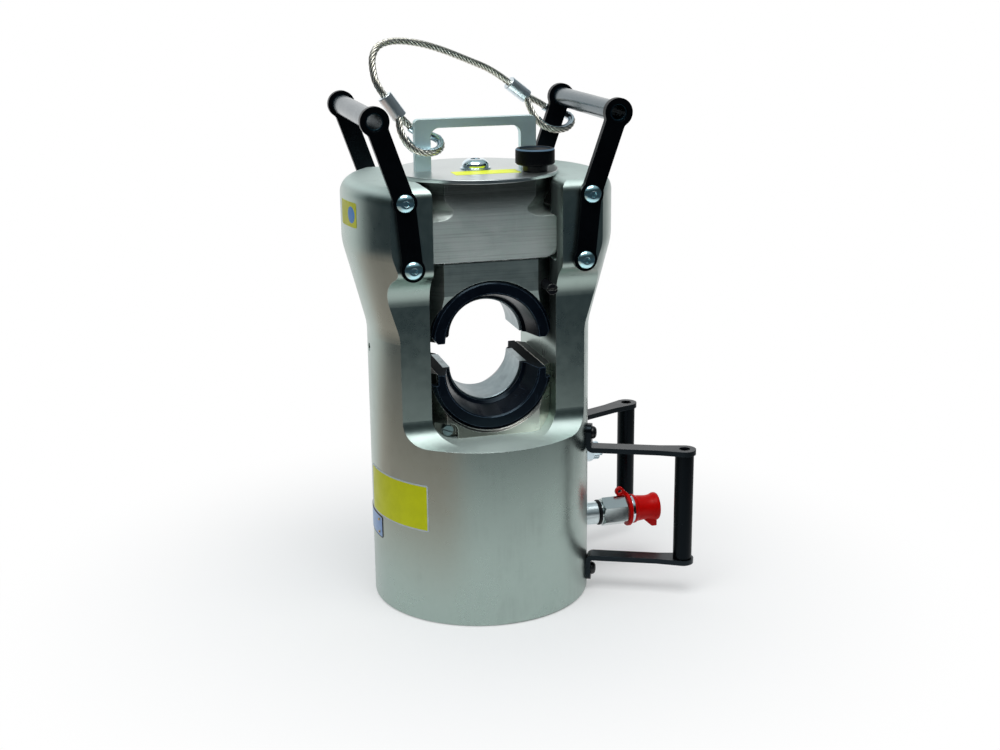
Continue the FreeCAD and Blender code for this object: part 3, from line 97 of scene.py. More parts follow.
class Bench:
    """Short calls for modelling one piece with Blender's operators."""

    @staticmethod
    def clear() -> None:
        """Leave nothing selected."""
        if bpy.context.object and bpy.context.object.mode != "OBJECT":
            Bench.leave_edit()
        bpy.ops.object.select_all(action="DESELECT")

    @staticmethod
    def pick(piece: bpy.types.Object) -> None:
        """Make one piece the only selected and the active one."""
        Bench.clear()
        piece.select_set(True)
        bpy.context.view_layer.objects.active = piece

    @staticmethod
    def named(name: str) -> bpy.types.Object:
        """Name the piece that an operator has just added.

        Args:
            name: the piece's name.

        Returns:
            The active object.
        """
        piece = bpy.context.object
        piece.name = name
        piece.data.name = name
        return piece

    @staticmethod
    def freeze() -> None:
        """Put the place, turn and size of what is selected into its mesh."""
        bpy.ops.object.transform_apply(location=True, rotation=True, scale=True)

    @staticmethod
    def edit_all() -> None:
        """Go into edit mode with all of the active piece selected."""
        bpy.ops.object.mode_set(mode="EDIT")
        bpy.ops.mesh.select_all(action="SELECT")

    @staticmethod
    def leave_edit() -> None:
        """Go back to object mode."""
        bpy.ops.object.mode_set(mode="OBJECT")

    @staticmethod
    def face_outwards() -> None:
        """Turn every face of the closed piece that is edited outwards, and go back."""
        bpy.ops.mesh.select_all(action="SELECT")
        bpy.ops.mesh.normals_make_consistent(inside=False)
        Bench.leave_edit()

    @staticmethod
    def select(piece: bpy.types.Object, kind: Pick, wanted: object) -> None:
        """Select the faces or corners that pass a test, and nothing else.

        Args:
            piece: the mesh object, left in edit mode with that kind of selection on.
            kind: whether faces or corners are tested.
            wanted: a test that takes a polygon or a vertex of the mesh.
        """
        Bench.pick(piece)
        bpy.ops.object.mode_set(mode="EDIT")
        bpy.ops.mesh.select_mode(type=kind.value)
        bpy.ops.mesh.select_all(action="DESELECT")
        Bench.leave_edit()
        for element in piece.data.polygons if kind is Pick.FACES else piece.data.vertices:
            element.select = bool(wanted(element))
        bpy.ops.object.mode_set(mode="EDIT")

    @staticmethod
    def apply(piece: bpy.types.Object, kind: str, **settings: object) -> None:
        """Add one modifier and apply it.

        Args:
            piece: the object to change.
            kind: the modifier's type.
            **settings: the modifier's own values.
        """
        Bench.pick(piece)
        modifier = piece.modifiers.new(kind.title(), kind)
        for key, value in settings.items():
            setattr(modifier, key, value)
        bpy.ops.object.modifier_apply(modifier=modifier.name)

    @staticmethod
    def settle(piece: bpy.types.Object, angle: float = 35.0) -> None:
        """Put the piece's place into its mesh and shade it smooth up to an angle.

        Args:
            piece: the finished object.
            angle: the largest angle in degrees that is shaded smooth.
        """
        Bench.pick(piece)
        Bench.freeze()
        bpy.ops.object.shade_smooth_by_angle(angle=math.radians(angle))

    @staticmethod
    def block(name: str, low: Point, high: Point) -> bpy.types.Object:
        """A block between two corners.

        Args:
            name: the piece's name.
            low: its lowest corner.
            high: its highest corner.

        Returns:
            The block with its place in its mesh.
        """
        Bench.clear()
        middle = tuple((a + b) / 2 for a, b in zip(low, high))
        bpy.ops.mesh.primitive_cube_add(size=1.0, location=middle)
        piece = Bench.named(name)
        piece.scale = tuple(b - a for a, b in zip(low, high))
        Bench.freeze()
        return piece

    @staticmethod
    def lathe(name: str, profile: tuple[Span, ...], sides: int) -> bpy.types.Object:
        """Model a turned solid about Z, one ring after another, from a disc at its first end.

        Args:
            name: the piece's name.
            profile: radius and height of each ring, from the first end to the last.
            sides: corners round the axis.

        Returns:
            The closed solid, still to be settled.
        """
        Bench.clear()
        reach, height = profile[0]
        bpy.ops.mesh.primitive_circle_add(vertices=sides, radius=reach, fill_type="NGON",
                                          location=(0, 0, height))
        piece = Bench.named(name)
        Bench.freeze()
        bpy.ops.object.mode_set(mode="EDIT")
        bpy.ops.mesh.select_mode(type="FACE")
        bpy.ops.mesh.select_all(action="SELECT")
        for next_reach, next_height in profile[1:]:
            bpy.ops.mesh.extrude_region_move(
                TRANSFORM_OT_translate={"value": (0.0, 0.0, next_height - height)})
            share = next_reach / reach
            bpy.ops.transform.resize(value=(share, share, 1.0),
                                     center_override=(0, 0, next_height))
            reach, height = next_reach, next_height
        Bench.face_outwards()
        return piece

    @staticmethod
    def cut(piece: bpy.types.Object, tool: bpy.types.Object) -> None:
        """Cut one piece with another and remove the cutter.

        Args:
            piece: the piece that stays.
            tool: the piece that is cut away.
        """
        Bench.apply(piece, "BOOLEAN", operation="DIFFERENCE", solver="EXACT", object=tool)
        bpy.data.objects.remove(tool)

    @staticmethod
    def copy(piece: bpy.types.Object, name: str, move: Matrix) -> bpy.types.Object:
        """Copy a piece with its own mesh to another place.

        Args:
            piece: the piece that was modelled once.
            name: the copy's name.
            move: the matrix that takes the piece to the copy's place.

        Returns:
            The copy, with its place in its mesh.
        """
        Bench.pick(piece)
        bpy.ops.object.duplicate(linked=False)
        twin = Bench.named(name)
        twin.data.transform(move)
        return twin

    @staticmethod
    def aim(place: Point, out: Vector, up: str) -> Matrix:
        """The matrix that stands a piece on a place with its +Z along a direction.

        Args:
            place: where the piece's origin goes.
            out: the direction.
            up: the piece's axis that stays nearest to upright.

        Returns:
            The matrix.
        """
        return Matrix.Translation(place) @ out.to_track_quat("Z", up).to_matrix().to_4x4()


# Shader nodes


class Weave:
    """A node tree with short calls for placing and joining its nodes."""

    bevel_samples: int = 4

    def __init__(self, tree: bpy.types.NodeTree) -> None:
        """Start on an empty tree."""
        self.tree = tree
        tree.nodes.clear()

    def add(self, kind: str, **settings: object) -> bpy.types.Node:
        """Place one node.

        Args:
            kind: the node's type name without its prefix.
            **settings: properties of the node.

        Returns:
            The new node.
        """
        prefix = "" if kind.startswith("NodeGroup") else "ShaderNode"
        node = self.tree.nodes.new(prefix + kind)
        for key, value in settings.items():
            setattr(node, key, value)
        return node

    def feed(self, socket: bpy.types.NodeSocket, value: object) -> None:
        """Give an input a link or a plain value.

        Args:
            socket: the input.
            value: an output to link, or the value to set.
        """
        if isinstance(value, bpy.types.NodeSocket):
            self.tree.links.new(value, socket)
        elif isinstance(value, tuple) and len(value) == 3 and socket.type == "RGBA":
            socket.default_value = (*value, 1.0)
        else:
            socket.default_value = value

    def group(self, tree: bpy.types.NodeTree, **values: object) -> bpy.types.Node:
        """Place a shared group.

        Args:
            tree: the group.
            **values: its inputs by name, linked or plain.

        Returns:
            The group's node.
        """
        node = self.add("Group", node_tree=tree)
        for label, value in values.items():
            self.feed(node.inputs[label], value)
        return node

    def place(self) -> bpy.types.NodeSocket:
        """The object coordinates."""
        return self.add("TexCoord").outputs["Object"]

    def skin_normal(self) -> bpy.types.NodeSocket:
        """The surface's own normal."""
        return self.add("NewGeometry").outputs["Normal"]

    def rounded(self, radius: float) -> bpy.types.NodeSocket:
        """The normal with its edges rounded by a radius."""
        node = self.add("Bevel", samples=self.bevel_samples)
        node.inputs["Radius"].default_value = radius
        return node.outputs[0]

    def parts(self, vector: object) -> tuple[bpy.types.NodeSocket, ...]:
        """The three coordinates of a vector."""
        node = self.add("SeparateXYZ")
        self.feed(node.inputs[0], vector)
        return tuple(node.outputs)

    def measure(self, operation: str, *vectors: object) -> bpy.types.Node:
        """One step of vector arithmetic.

        Args:
            operation: the Vector Math node's operation.
            *vectors: its inputs, linked or plain.

        Returns:
            The node, with Vector and Value outputs.
        """
        node = self.add("VectorMath", operation=operation)
        for socket, vector in zip(node.inputs, vectors):
            self.feed(socket, vector)
        return node

    def math(self, operation: str, *values: object, clamp: bool = False) -> bpy.types.NodeSocket:
        """One step of arithmetic.

        Args:
            operation: the Math node's operation.
            *values: its inputs, linked or plain.
            clamp: whether the result stays between 0 and 1.

        Returns:
            The result's socket.
        """
        node = self.add("Math", operation=operation, use_clamp=clamp)
        for socket, value in zip(node.inputs, values):
            self.feed(socket, value)
        return node.outputs[0]

    def product(self, first: object, *others: object) -> bpy.types.NodeSocket:
        """All the values multiplied."""
        for value in others:
            first = self.math("MULTIPLY", first, value)
        return first

    def blend(self, factor: object, first: object, second: object) -> bpy.types.NodeSocket:
        """Mix two colours.

        Args:
            factor: how much of the second colour, from 0 to 1.
            first: the first colour.
            second: the second colour.

        Returns:
            The mixed colour's socket.
        """
        node = self.add("Mix", data_type="RGBA", blend_type="MIX")
        self.feed(node.inputs[0], factor)
        self.feed(node.inputs[6], first)
        self.feed(node.inputs[7], second)
        return node.outputs[2]

    def step(self, value: object, low: float, high: float,
             out_low: float = 0.0, out_high: float = 1.0) -> bpy.types.NodeSocket:
        """Map a value smoothly from one range to another.

        Args:
            value: the input.
            low: the value that gives out_low.
            high: the value that gives out_high.
            out_low: result at the low end.
            out_high: result at the high end.

        Returns:
            The mapped value's socket.
        """
        node = self.add("MapRange", interpolation_type="SMOOTHSTEP", clamp=True)
        for socket, number in zip(node.inputs, (value, low, high, out_low, out_high)):
            self.feed(socket, number)
        return node.outputs[0]

    def noise(self, vector: object, scale: object = 1.0, detail: float = 3.0,
              rough: float = 0.55) -> bpy.types.NodeSocket:
        """Noise from 0 to 1 over a vector.

        Args:
            vector: the coordinates.
            scale: the number of features a metre.
            detail: octaves.
            rough: how strong the fine octaves are.

        Returns:
            The noise value's socket.
        """
        node = self.add("TexNoise")
        self.feed(node.inputs["Vector"], vector)
        self.feed(node.inputs["Scale"], scale)
        node.inputs["Detail"].default_value = detail
        node.inputs["Roughness"].default_value = rough
        return node.outputs["Fac"]

    def stretch(self, vector: object, scale: Point,
                turn: Point = (0.0, 0.0, 0.0)) -> bpy.types.NodeSocket:
        """Scale and turn coordinates.

        Args:
            vector: the coordinates.
            scale: factors along the three axes.
            turn: angles in degrees about the three axes.

        Returns:
            The mapped vector's socket.
        """
        node = self.add("Mapping")
        self.feed(node.inputs["Vector"], vector)
        node.inputs["Scale"].default_value = scale
        node.inputs["Rotation"].default_value = tuple(math.radians(a) for a in turn)
        return node.outputs[0]

    def relief(self, height: object, strength: float, distance: float,
               normal: object = None) -> bpy.types.NodeSocket:
        """The normal bent by a height.

        Args:
            height: the height from 0 to 1.
            strength: the bump's strength.
            distance: the depth of the relief in metres.
            normal: the normal that is bent, or None for the surface's own.

        Returns:
            The bent normal's socket.
        """
        node = self.add("Bump")
        node.inputs["Strength"].default_value = strength
        node.inputs["Distance"].default_value = distance
        self.feed(node.inputs["Height"], height)
        if normal is not None:
            self.feed(node.inputs["Normal"], normal)
        return node.outputs[0]

    def skin(self, colour: object, rough: object, normal: object,
             fixed: dict[str, object]) -> None:
        """End the material with its Principled shader.

        Args:
            colour: the base colour.
            rough: the roughness.
            normal: the normal.
            fixed: further inputs that keep one value.
        """
        shader = self.add("BsdfPrincipled")
        self.feed(shader.inputs["Base Color"], colour)
        self.feed(shader.inputs["Roughness"], rough)
        self.feed(shader.inputs["Normal"], normal)
        for label, value in fixed.items():
            shader.inputs[label].default_value = value
        self.feed(self.add("OutputMaterial").inputs["Surface"], shader.outputs[0])


def start_material(name: str) -> tuple[bpy.types.Material, Weave]:
    """Make a material and the helper on its empty tree.

    Args:
        name: the material's name.

    Returns:
        The material and its helper.
    """
    material = bpy.data.materials.new(name)
    material.use_nodes = True
    return material, Weave(material.node_tree)


@dataclass
class SharedEffects:
    """Node groups that more than one finish uses, each built once."""

    cloud_scale: float = 14.0
    patch_scale: float = 95.0
    patch_share: float = 0.35
    tone_range: Span = (0.34, 0.66)
    scratch_size: Point = (900.0, 60.0, 60.0)
    scratch_turn: Point = (12.0, 31.0, 20.0)
    scratch_range: Span = (0.70, 0.74)
    cross_size: Point = (70.0, 50.0, 1100.0)
    cross_turn: Point = (-24.0, 8.0, -35.0)
    cross_range: Span = (0.71, 0.75)
    handled_scale: float = 22.0
    handled_range: Span = (0.46, 0.62)
    ring_climb: float = 0.6
    line_size: Point = (0.012, 1.0, 1.0)
    oil_scale: float = 26.0
    oil_range: Span = (0.45, 0.70)
    run_size: Point = (160.0, 160.0, 14.0)
    run_range: Span = (0.30, 0.70)

    def __post_init__(self) -> None:
        """Build every group."""
        self.mottle = self._mottle()
        self.scuffs = self._scuffs()
        self.rings = self._rings()
        self.lines = self._lines()
        self.knurl = self._knurl()
        self.film = self._film()

    @staticmethod
    def _open(name: str, inputs: dict[str, float],
              outputs: tuple[str, ...]) -> tuple[Weave, bpy.types.Node, bpy.types.Node]:
        """Make a group that takes a Vector and some numbers and gives numbers.

        Args:
            name: the group's name.
            inputs: the numbers that go in, with their defaults.
            outputs: the numbers that come out.

        Returns:
            The tree's helper, its input node and its output node.
        """
        tree = bpy.data.node_groups.new(name, "ShaderNodeTree")
        face = tree.interface
        face.new_socket("Vector", in_out="INPUT", socket_type="NodeSocketVector")
        for label, value in inputs.items():
            socket = face.new_socket(label, in_out="INPUT", socket_type="NodeSocketFloat")
            socket.default_value = value
        for label in outputs:
            face.new_socket(label, in_out="OUTPUT", socket_type="NodeSocketFloat")
        weave = Weave(tree)
        return weave, weave.add("NodeGroupInput"), weave.add("NodeGroupOutput")

    def _mottle(self) -> bpy.types.NodeTree:
        """Slow cloudy tone and the fine pits of a blasted or cast skin."""
        weave, start, end = self._open("Mottle", {"Grain": 900.0}, ("Tone", "Pits"))
        vector = start.outputs["Vector"]
        wide = weave.noise(vector, self.cloud_scale, detail=4.0, rough=0.6)
        near = weave.noise(vector, self.patch_scale, detail=3.0, rough=0.6)
        tone = weave.math("MULTIPLY_ADD", near, self.patch_share,
                          weave.product(wide, 1.0 - self.patch_share))
        pits = weave.noise(vector, start.outputs["Grain"], detail=2.0, rough=0.7)
        weave.feed(end.inputs["Tone"], weave.step(tone, *self.tone_range))
        weave.feed(end.inputs["Pits"], pits)
        return weave.tree

    def _scuffs(self) -> bpy.types.NodeTree:
        """Thin short marks left by handling, in two directions."""
        weave, start, end = self._open("HandlingMarks", {"Amount": 0.5}, ("Mask",))
        vector = start.outputs["Vector"]
        fine = weave.noise(weave.stretch(vector, self.scratch_size, self.scratch_turn), detail=1.0)
        cross = weave.noise(weave.stretch(vector, self.cross_size, self.cross_turn), detail=1.0)
        handled = weave.noise(vector, self.handled_scale, detail=2.0)
        either = weave.math("MAXIMUM", weave.step(fine, *self.scratch_range),
                            weave.step(cross, *self.cross_range))
        mask = weave.product(either, weave.step(handled, *self.handled_range))
        weave.feed(end.inputs["Mask"],
                   weave.math("MULTIPLY", mask, start.outputs["Amount"], clamp=True))
        return weave.tree

    def _rings(self) -> bpy.types.NodeTree:
        """Rings of a turned face about the vertical axis through the origin."""
        weave, start, end = self._open("TurnedRings", {"Density": 1500.0}, ("Height",))
        x, y, z = weave.parts(start.outputs["Vector"])
        reach = weave.math("SQRT", weave.math("ADD", weave.product(x, x), weave.product(y, y)))
        put = weave.add("CombineXYZ")
        weave.feed(put.inputs[0], reach)
        weave.feed(put.inputs[1], weave.product(z, self.ring_climb))
        weave.feed(end.inputs["Height"],
                   weave.noise(put.outputs[0], start.outputs["Density"], detail=2.0, rough=0.7))
        return weave.tree

    def _lines(self) -> bpy.types.NodeTree:
        """Long fine lines of milling or grinding along local X."""
        weave, start, end = self._open("MilledLines", {"Density": 900.0}, ("Height",))
        along = weave.stretch(start.outputs["Vector"], self.line_size)
        weave.feed(end.inputs["Height"],
                   weave.noise(along, start.outputs["Density"], detail=2.0, rough=0.75))
        return weave.tree

    def _knurl(self) -> bpy.types.NodeTree:
        """Crossed diagonal grooves round a vertical cylinder centred on local Z."""
        weave, start, end = self._open("CrossedKnurl", {"Count": 90.0, "Slant": 2600.0},
                                       ("Height",))
        x, y, z = weave.parts(start.outputs["Vector"])
        turn = weave.product(weave.math("ARCTAN2", y, x), start.outputs["Count"])
        climb = weave.product(z, start.outputs["Slant"])
        left, right = (weave.math("SINE", weave.math(way, turn, climb))
                       for way in ("ADD", "SUBTRACT"))
        weave.feed(end.inputs["Height"], weave.math("MINIMUM", left, right))
        return weave.tree

    def _film(self) -> bpy.types.NodeTree:
        """Oily darkening in patches and runs."""
        weave, start, end = self._open("OilFilm", {"Amount": 0.4}, ("Mask",))
        vector = start.outputs["Vector"]
        broad = weave.noise(vector, self.oil_scale, detail=3.0, rough=0.6)
        runs = weave.noise(weave.stretch(vector, self.run_size), detail=2.0)
        mask = weave.product(weave.step(broad, *self.oil_range),
                             weave.step(runs, *self.run_range))
        weave.feed(end.inputs["Mask"],
                   weave.math("MULTIPLY", mask, start.outputs["Amount"], clamp=True))
        return weave.tree


class Worked(Enum):
    """How a surface was worked."""

    BLASTED = "blasted"
    GROUND = "ground"
    MILLED = "milled"
    TURNED = "turned"
    PLAIN = "plain"


@dataclass(frozen=True)
class Weathering:
    """How strongly wear, oil, painted shade and painted edge highlights change a finish, the same
    for all finishes.
    """

    oil_share: float = 0.45
    scuff_share: float = 0.5
    scuff_polish: float = -0.12
    edge_polish: float = -0.08
    scuff_depth: float = -0.4
    relief_strength: float = 0.6
    relief_depth: float = 0.0001
    # How far painted shade darkens the colour under other pieces and on the lower holder's left
    # side.
    shade: float = 0.92
    z_shade_share: float = 0.08
    x_shade_share: float = 0.10
    streak_share: float = 0.40
    streak_size: Point = (7.0, 7.0, 620.0)
    streak_range: Span = (0.42, 0.72)
    # Painted shade on the window's inner walls: its colour, strength and where it lies.
    wall_shade_colour: Colour = (0.030, 0.040, 0.042)
    wall_share: float = 0.85
    wall_facing: Span = (0.85, 0.97)
    wall_depth: Span = (-0.104, -0.070)
    wall_edges: Point = (0.004, 0.020, 0.010)
    # Where edges are rubbed bright and carry a painted highlight.
    edge_scale: float = 160.0
    edge_break: Span = (0.30, 0.62)
    edge_least: float = 0.25
    edge_bend: Span = (0.008, 0.12)
    coat_roughness: float = 0.12
    ground_density: float = 1500.0
    milled_density: float = 700.0
    turned_density: float = 1400.0


WEAR = Weathering()


@dataclass(frozen=True)
class Finish:
    """One surface finish of the head: a skin over metal, paint, rubber or plating."""

    name: str
    colour: Colour
    drift: Colour
    metallic: float = 1.0
    roughness: float = 0.4
    spread: float = 0.08
    worked: Worked = Worked.BLASTED
    marks: float = 0.25
    grain: float = 1100.0
    pits: float = 0.25
    # Colour of scuffs and of sharp edges: partly rubbed wear, partly a painted highlight on the
    # edges.
    edge: Colour = (0.7, 0.72, 0.72)
    edge_width: float = 0.0008
    edge_share: float = 0.6
    scuffs: float = 0.35
    film: float = 0.25
    coat: float = 0.0
    specular: float = 0.5
    tint: Colour = (1.0, 1.0, 1.0)
    rounding: float = 0.0006
    # Colour painted on faces that look up as painted light: a painted highlight on the body,
    # painted shade on the lower holder and the die rings.
    upward: Colour | None = None
    upward_roughness: float = 0.5
    upward_from: Span = (0.35, 0.80)
    # Heights above which the colour gets painted shade, under a piece above.
    painted_shade_z: Span | None = None
    # Range across X over which the colour gets painted shade towards the left side.
    painted_shade_x: Span | None = None
    # Half width and heights of the window's inner walls, which get painted shade.
    painted_wall_shade: Point | None = None
    streaks: float = 0.0

    def make(self, effects: SharedEffects) -> bpy.types.Material:
        """Build the material.

        Args:
            effects: the shared node groups.

        Returns:
            The finished material.
        """
        material, weave = start_material(self.name)
        place = weave.place()
        mottle = weave.group(effects.mottle, Vector=place, Grain=self.grain)
        scuffs = weave.group(effects.scuffs, Vector=place, Amount=self.scuffs).outputs["Mask"]
        film = weave.group(effects.film, Vector=place, Amount=self.film).outputs["Mask"]
        # Edge mask for rubbed wear and a painted highlight.
        worn = self._edge_wear_highlight_mask(weave, place)
        tilt = None
        if self.upward is not None:
            tilt = weave.step(weave.parts(weave.skin_normal())[2], *self.upward_from)
        walls = None if self.painted_wall_shade is None else self._wall_shade_mask(weave, place)

        colour = weave.blend(mottle.outputs["Tone"], self.colour, self.drift)
        colour = self._shaded(weave, place, colour, tilt, walls)
        colour = weave.blend(film, colour, self._part(WEAR.oil_share))
        colour = weave.blend(weave.product(scuffs, WEAR.scuff_share), colour, self.edge)
        # Sharp edges get the edge colour: rubbed wear and a painted highlight.
        colour = weave.blend(worn, colour, self.edge)

        rough = weave.math("MULTIPLY_ADD", mottle.outputs["Tone"], self.spread, self.roughness)
        if tilt is not None:
            rise = self.upward_roughness - self.roughness
            rough = weave.math("MULTIPLY_ADD", tilt, rise, rough)
        if walls is not None:
            rough = weave.math("MULTIPLY_ADD", walls, WEAR.wall_share, rough)
        rough = weave.math("MULTIPLY_ADD", scuffs, WEAR.scuff_polish, rough)
        rough = weave.math("MULTIPLY_ADD", worn, WEAR.edge_polish, rough, clamp=True)

        height = self._height(weave, effects, place, mottle.outputs["Pits"])
        height = weave.math("MULTIPLY_ADD", scuffs, WEAR.scuff_depth, height)
        normal = weave.relief(height, WEAR.relief_strength, WEAR.relief_depth,
                              weave.rounded(self.rounding))
        fixed = {"Metallic": self.metallic, "Specular IOR Level": self.specular,
                 "Specular Tint": (*self.tint, 1.0)}
        if self.coat > 0.0:
            fixed |= {"Coat Weight": self.coat, "Coat Roughness": WEAR.coat_roughness}
        weave.skin(colour, rough, normal, fixed)
        return material

    def _part(self, share: float) -> Colour:
        """The finish's colour brought down to a share of itself."""
        return tuple(share * c for c in self.colour)

    def _shaded(self, weave: Weave, place: object, colour: object, tilt: object,
                walls: object) -> bpy.types.NodeSocket:
        """Paint light and shade into the colour: painted light where the piece faces up, painted
        shade where others shade it and on the window's walls, and add streaks.

        Args:
            weave: the material's helper.
            place: the object coordinates.
            colour: the plain colour.
            tilt: the mask of faces that look up, or None.
            walls: the mask of the window's inner walls, which get painted shade, or None.

        Returns:
            The changed colour's socket.
        """
        # Faces that look up get the upward colour, which is painted light.
        if tilt is not None:
            colour = weave.blend(tilt, colour, self.upward)
        # Painted shade above a height, where a piece above shades this one.
        if self.painted_shade_z is not None:
            shade = weave.step(weave.parts(place)[2], *self.painted_shade_z, 0.0, WEAR.shade)
            colour = weave.blend(shade, colour, self._part(WEAR.z_shade_share))
        # Painted shade on the window's inner walls.
        if walls is not None:
            colour = weave.blend(walls, colour, WEAR.wall_shade_colour)
        if self.streaks > 0.0:
            runs = weave.noise(weave.stretch(place, WEAR.streak_size), detail=4.0, rough=0.65)
            streak = weave.step(runs, *WEAR.streak_range, 0.0, self.streaks)
            colour = weave.blend(streak, colour, self._part(WEAR.streak_share))
        # Painted shade on the left side of the piece.
        if self.painted_shade_x is not None:
            shade = weave.step(weave.parts(place)[0], *self.painted_shade_x, WEAR.shade, 0.0)
            colour = weave.blend(shade, colour, self._part(WEAR.x_shade_share))
        return colour

    def _wall_shade_mask(self, weave: Weave, place: object) -> bpy.types.NodeSocket:
        """Where the window's inner walls are, which get painted shade and a rougher skin.

        Args:
            weave: the material's helper.
            place: the object coordinates.

        Returns:
            A mask from 0 to the walls' share.
        """
        half, low, high = self.painted_wall_shade
        beside, below, above = WEAR.wall_edges
        x, y, z = weave.parts(place)
        across = weave.parts(weave.skin_normal())[0]
        side = weave.step(weave.math("ABSOLUTE", across), *WEAR.wall_facing)
        near = weave.step(weave.math("ABSOLUTE", x), half, half + beside, 1.0, 0.0)
        deep = weave.step(y, *WEAR.wall_depth)
        tall = weave.product(weave.step(z, low, low + below),
                             weave.step(z, high - above, high, 1.0, 0.0))
        return weave.product(side, near, weave.product(deep, tall), WEAR.wall_share)

    def _edge_wear_highlight_mask(self, weave: Weave, place: object) -> bpy.types.NodeSocket:
        """Where sharp edges are rubbed bright by wear and carry a painted highlight.

        Args:
            weave: the material's helper.
            place: the object coordinates.

        Returns:
            A mask from 0 to the edges' share.
        """
        dot = weave.measure("DOT_PRODUCT", weave.rounded(self.edge_width), weave.skin_normal())
        bend = weave.math("SUBTRACT", 1.0, dot.outputs["Value"])
        spots = weave.noise(place, WEAR.edge_scale, detail=3.0, rough=0.7)
        broken = weave.step(spots, *WEAR.edge_break, WEAR.edge_least, 1.0)
        mask = weave.product(weave.step(bend, *WEAR.edge_bend), broken)
        return weave.math("MULTIPLY", mask, self.edge_share, clamp=True)

    def _height(self, weave: Weave, effects: SharedEffects, place: object,
                pits: object) -> bpy.types.NodeSocket:
        """The fine relief that the way of working leaves.

        Args:
            weave: the material's helper.
            effects: the shared node groups.
            place: the object coordinates.
            pits: the fine pits of the skin.

        Returns:
            The height socket for the bump.
        """
        height = weave.product(pits, self.pits)
        ways = {Worked.GROUND: (effects.lines, WEAR.ground_density),
                Worked.MILLED: (effects.lines, WEAR.milled_density),
                Worked.TURNED: (effects.rings, WEAR.turned_density)}
        if self.worked not in ways:
            return height
        tree, density = ways[self.worked]
        marks = weave.group(tree, Vector=place, Density=density)
        return weave.math("MULTIPLY_ADD", marks.outputs["Height"], self.marks, height)


@dataclass(frozen=True)
class KnurledFinish:
    """Black knurled metal or plastic round a knob, with a painted highlight on its top rim."""

    name: str
    centre: Point
    low_z: float = 0.5115
    high_z: float = 0.5265
    fade: float = 0.0006
    rim_height: float = 0.002
    rounding: float = 0.0012
    side_tilt: Span = (0.20, 0.50)
    rim_tilt: Span = (0.30, 0.60)
    top_tilt: Span = (0.85, 0.95)
    crests: Span = (0.55, 0.95)
    crest_share: float = 0.35
    colour: Colour = (0.0015, 0.0020, 0.0030)
    crest_colour: Colour = (0.012, 0.015, 0.020)
    rim_highlight_colour: Colour = (0.10, 0.17, 0.24)
    roughness: float = 0.45
    crest_polish: float = -0.3
    relief_strength: float = 0.5
    relief_depth: float = 0.0002
    specular: float = 0.08

    def make(self, effects: SharedEffects) -> bpy.types.Material:
        """Build the material.

        Args:
            effects: the shared node groups.

        Returns:
            The finished material.
        """
        material, weave = start_material(self.name)
        moved = weave.add("Mapping")
        weave.feed(moved.inputs["Vector"], weave.place())
        moved.inputs["Location"].default_value = tuple(-c for c in self.centre)
        knurl = weave.group(effects.knurl, Vector=moved.outputs[0])
        z = weave.parts(weave.place())[2]
        tilt = weave.parts(weave.skin_normal())[2]
        band = weave.product(
            weave.step(z, self.low_z, self.low_z + self.fade),
            weave.step(z, self.high_z - self.fade, self.high_z, 1.0, 0.0),
            weave.step(weave.math("ABSOLUTE", tilt), *self.side_tilt, 1.0, 0.0))
        relief = weave.product(knurl.outputs["Height"], band)
        # A bluish painted highlight on the slope round the knob's top.
        rim = weave.product(weave.step(tilt, *self.rim_tilt),
                            weave.step(tilt, *self.top_tilt, 1.0, 0.0),
                            weave.step(z, self.high_z - self.rim_height, self.high_z))
        worn = weave.step(relief, *self.crests, 0.0, self.crest_share)
        colour = weave.blend(worn, self.colour, self.crest_colour)
        weave.skin(weave.blend(rim, colour, self.rim_highlight_colour),
                   weave.math("MULTIPLY_ADD", worn, self.crest_polish, self.roughness),
                   weave.relief(relief, self.relief_strength, self.relief_depth,
                                weave.rounded(self.rounding)),
                   {"Specular IOR Level": self.specular})
        return material


@dataclass(frozen=True)
class WireFinish:
    """Stainless wires of a rope's strands, drawn from the strand's own UV map, with painted shade
    between wires and strands.
    """

    name: str
    wires: float = 9.0
    wire_lay: float = 0.9
    tone_scale: float = 300.0
    light: Colour = (0.86, 0.84, 0.76)
    dull: Colour = (0.60, 0.58, 0.50)
    tone_range: Span = (0.35, 0.65)
    groove_shade_colour: Colour = (0.10, 0.095, 0.08)
    groove_reach: float = 0.35
    groove_share: float = 0.55
    gap_shade_colour: Colour = (0.035, 0.040, 0.038)
    gap_range: Span = (0.13, 0.30)
    polish_range: Span = (0.30, 0.70)
    roughness: Span = (0.26, 0.40)
    relief_strength: float = 0.5
    relief_depth: float = 0.0002

    def make(self) -> bpy.types.Material:
        """Build the material and return it."""
        material, weave = start_material(self.name)
        along, about, _ = weave.parts(weave.add("UVMap", uv_map="strand").outputs[0])
        turn = weave.product(about, self.wires * 2.0 * math.pi)
        phase = weave.math("ADD", turn, weave.product(along, self.wire_lay))
        groove = weave.math("ABSOLUTE", weave.math("SINE", weave.product(phase, 0.5)))
        gap = weave.step(weave.math("PINGPONG", about, 0.5), *self.gap_range)
        tone = weave.noise(weave.place(), self.tone_scale, detail=3.0)
        colour = weave.blend(weave.step(tone, *self.tone_range), self.light, self.dull)
        # Painted shade in the grooves between the wires.
        colour = weave.blend(weave.step(groove, 0.0, self.groove_reach, self.groove_share, 0.0),
                             colour, self.groove_shade_colour)
        # Painted shade in the gaps between the strands.
        colour = weave.blend(gap, colour, self.gap_shade_colour)
        weave.skin(colour, weave.step(tone, *self.polish_range, *self.roughness),
                   weave.relief(groove, self.relief_strength, self.relief_depth),
                   {"Metallic": 1.0})
        return material


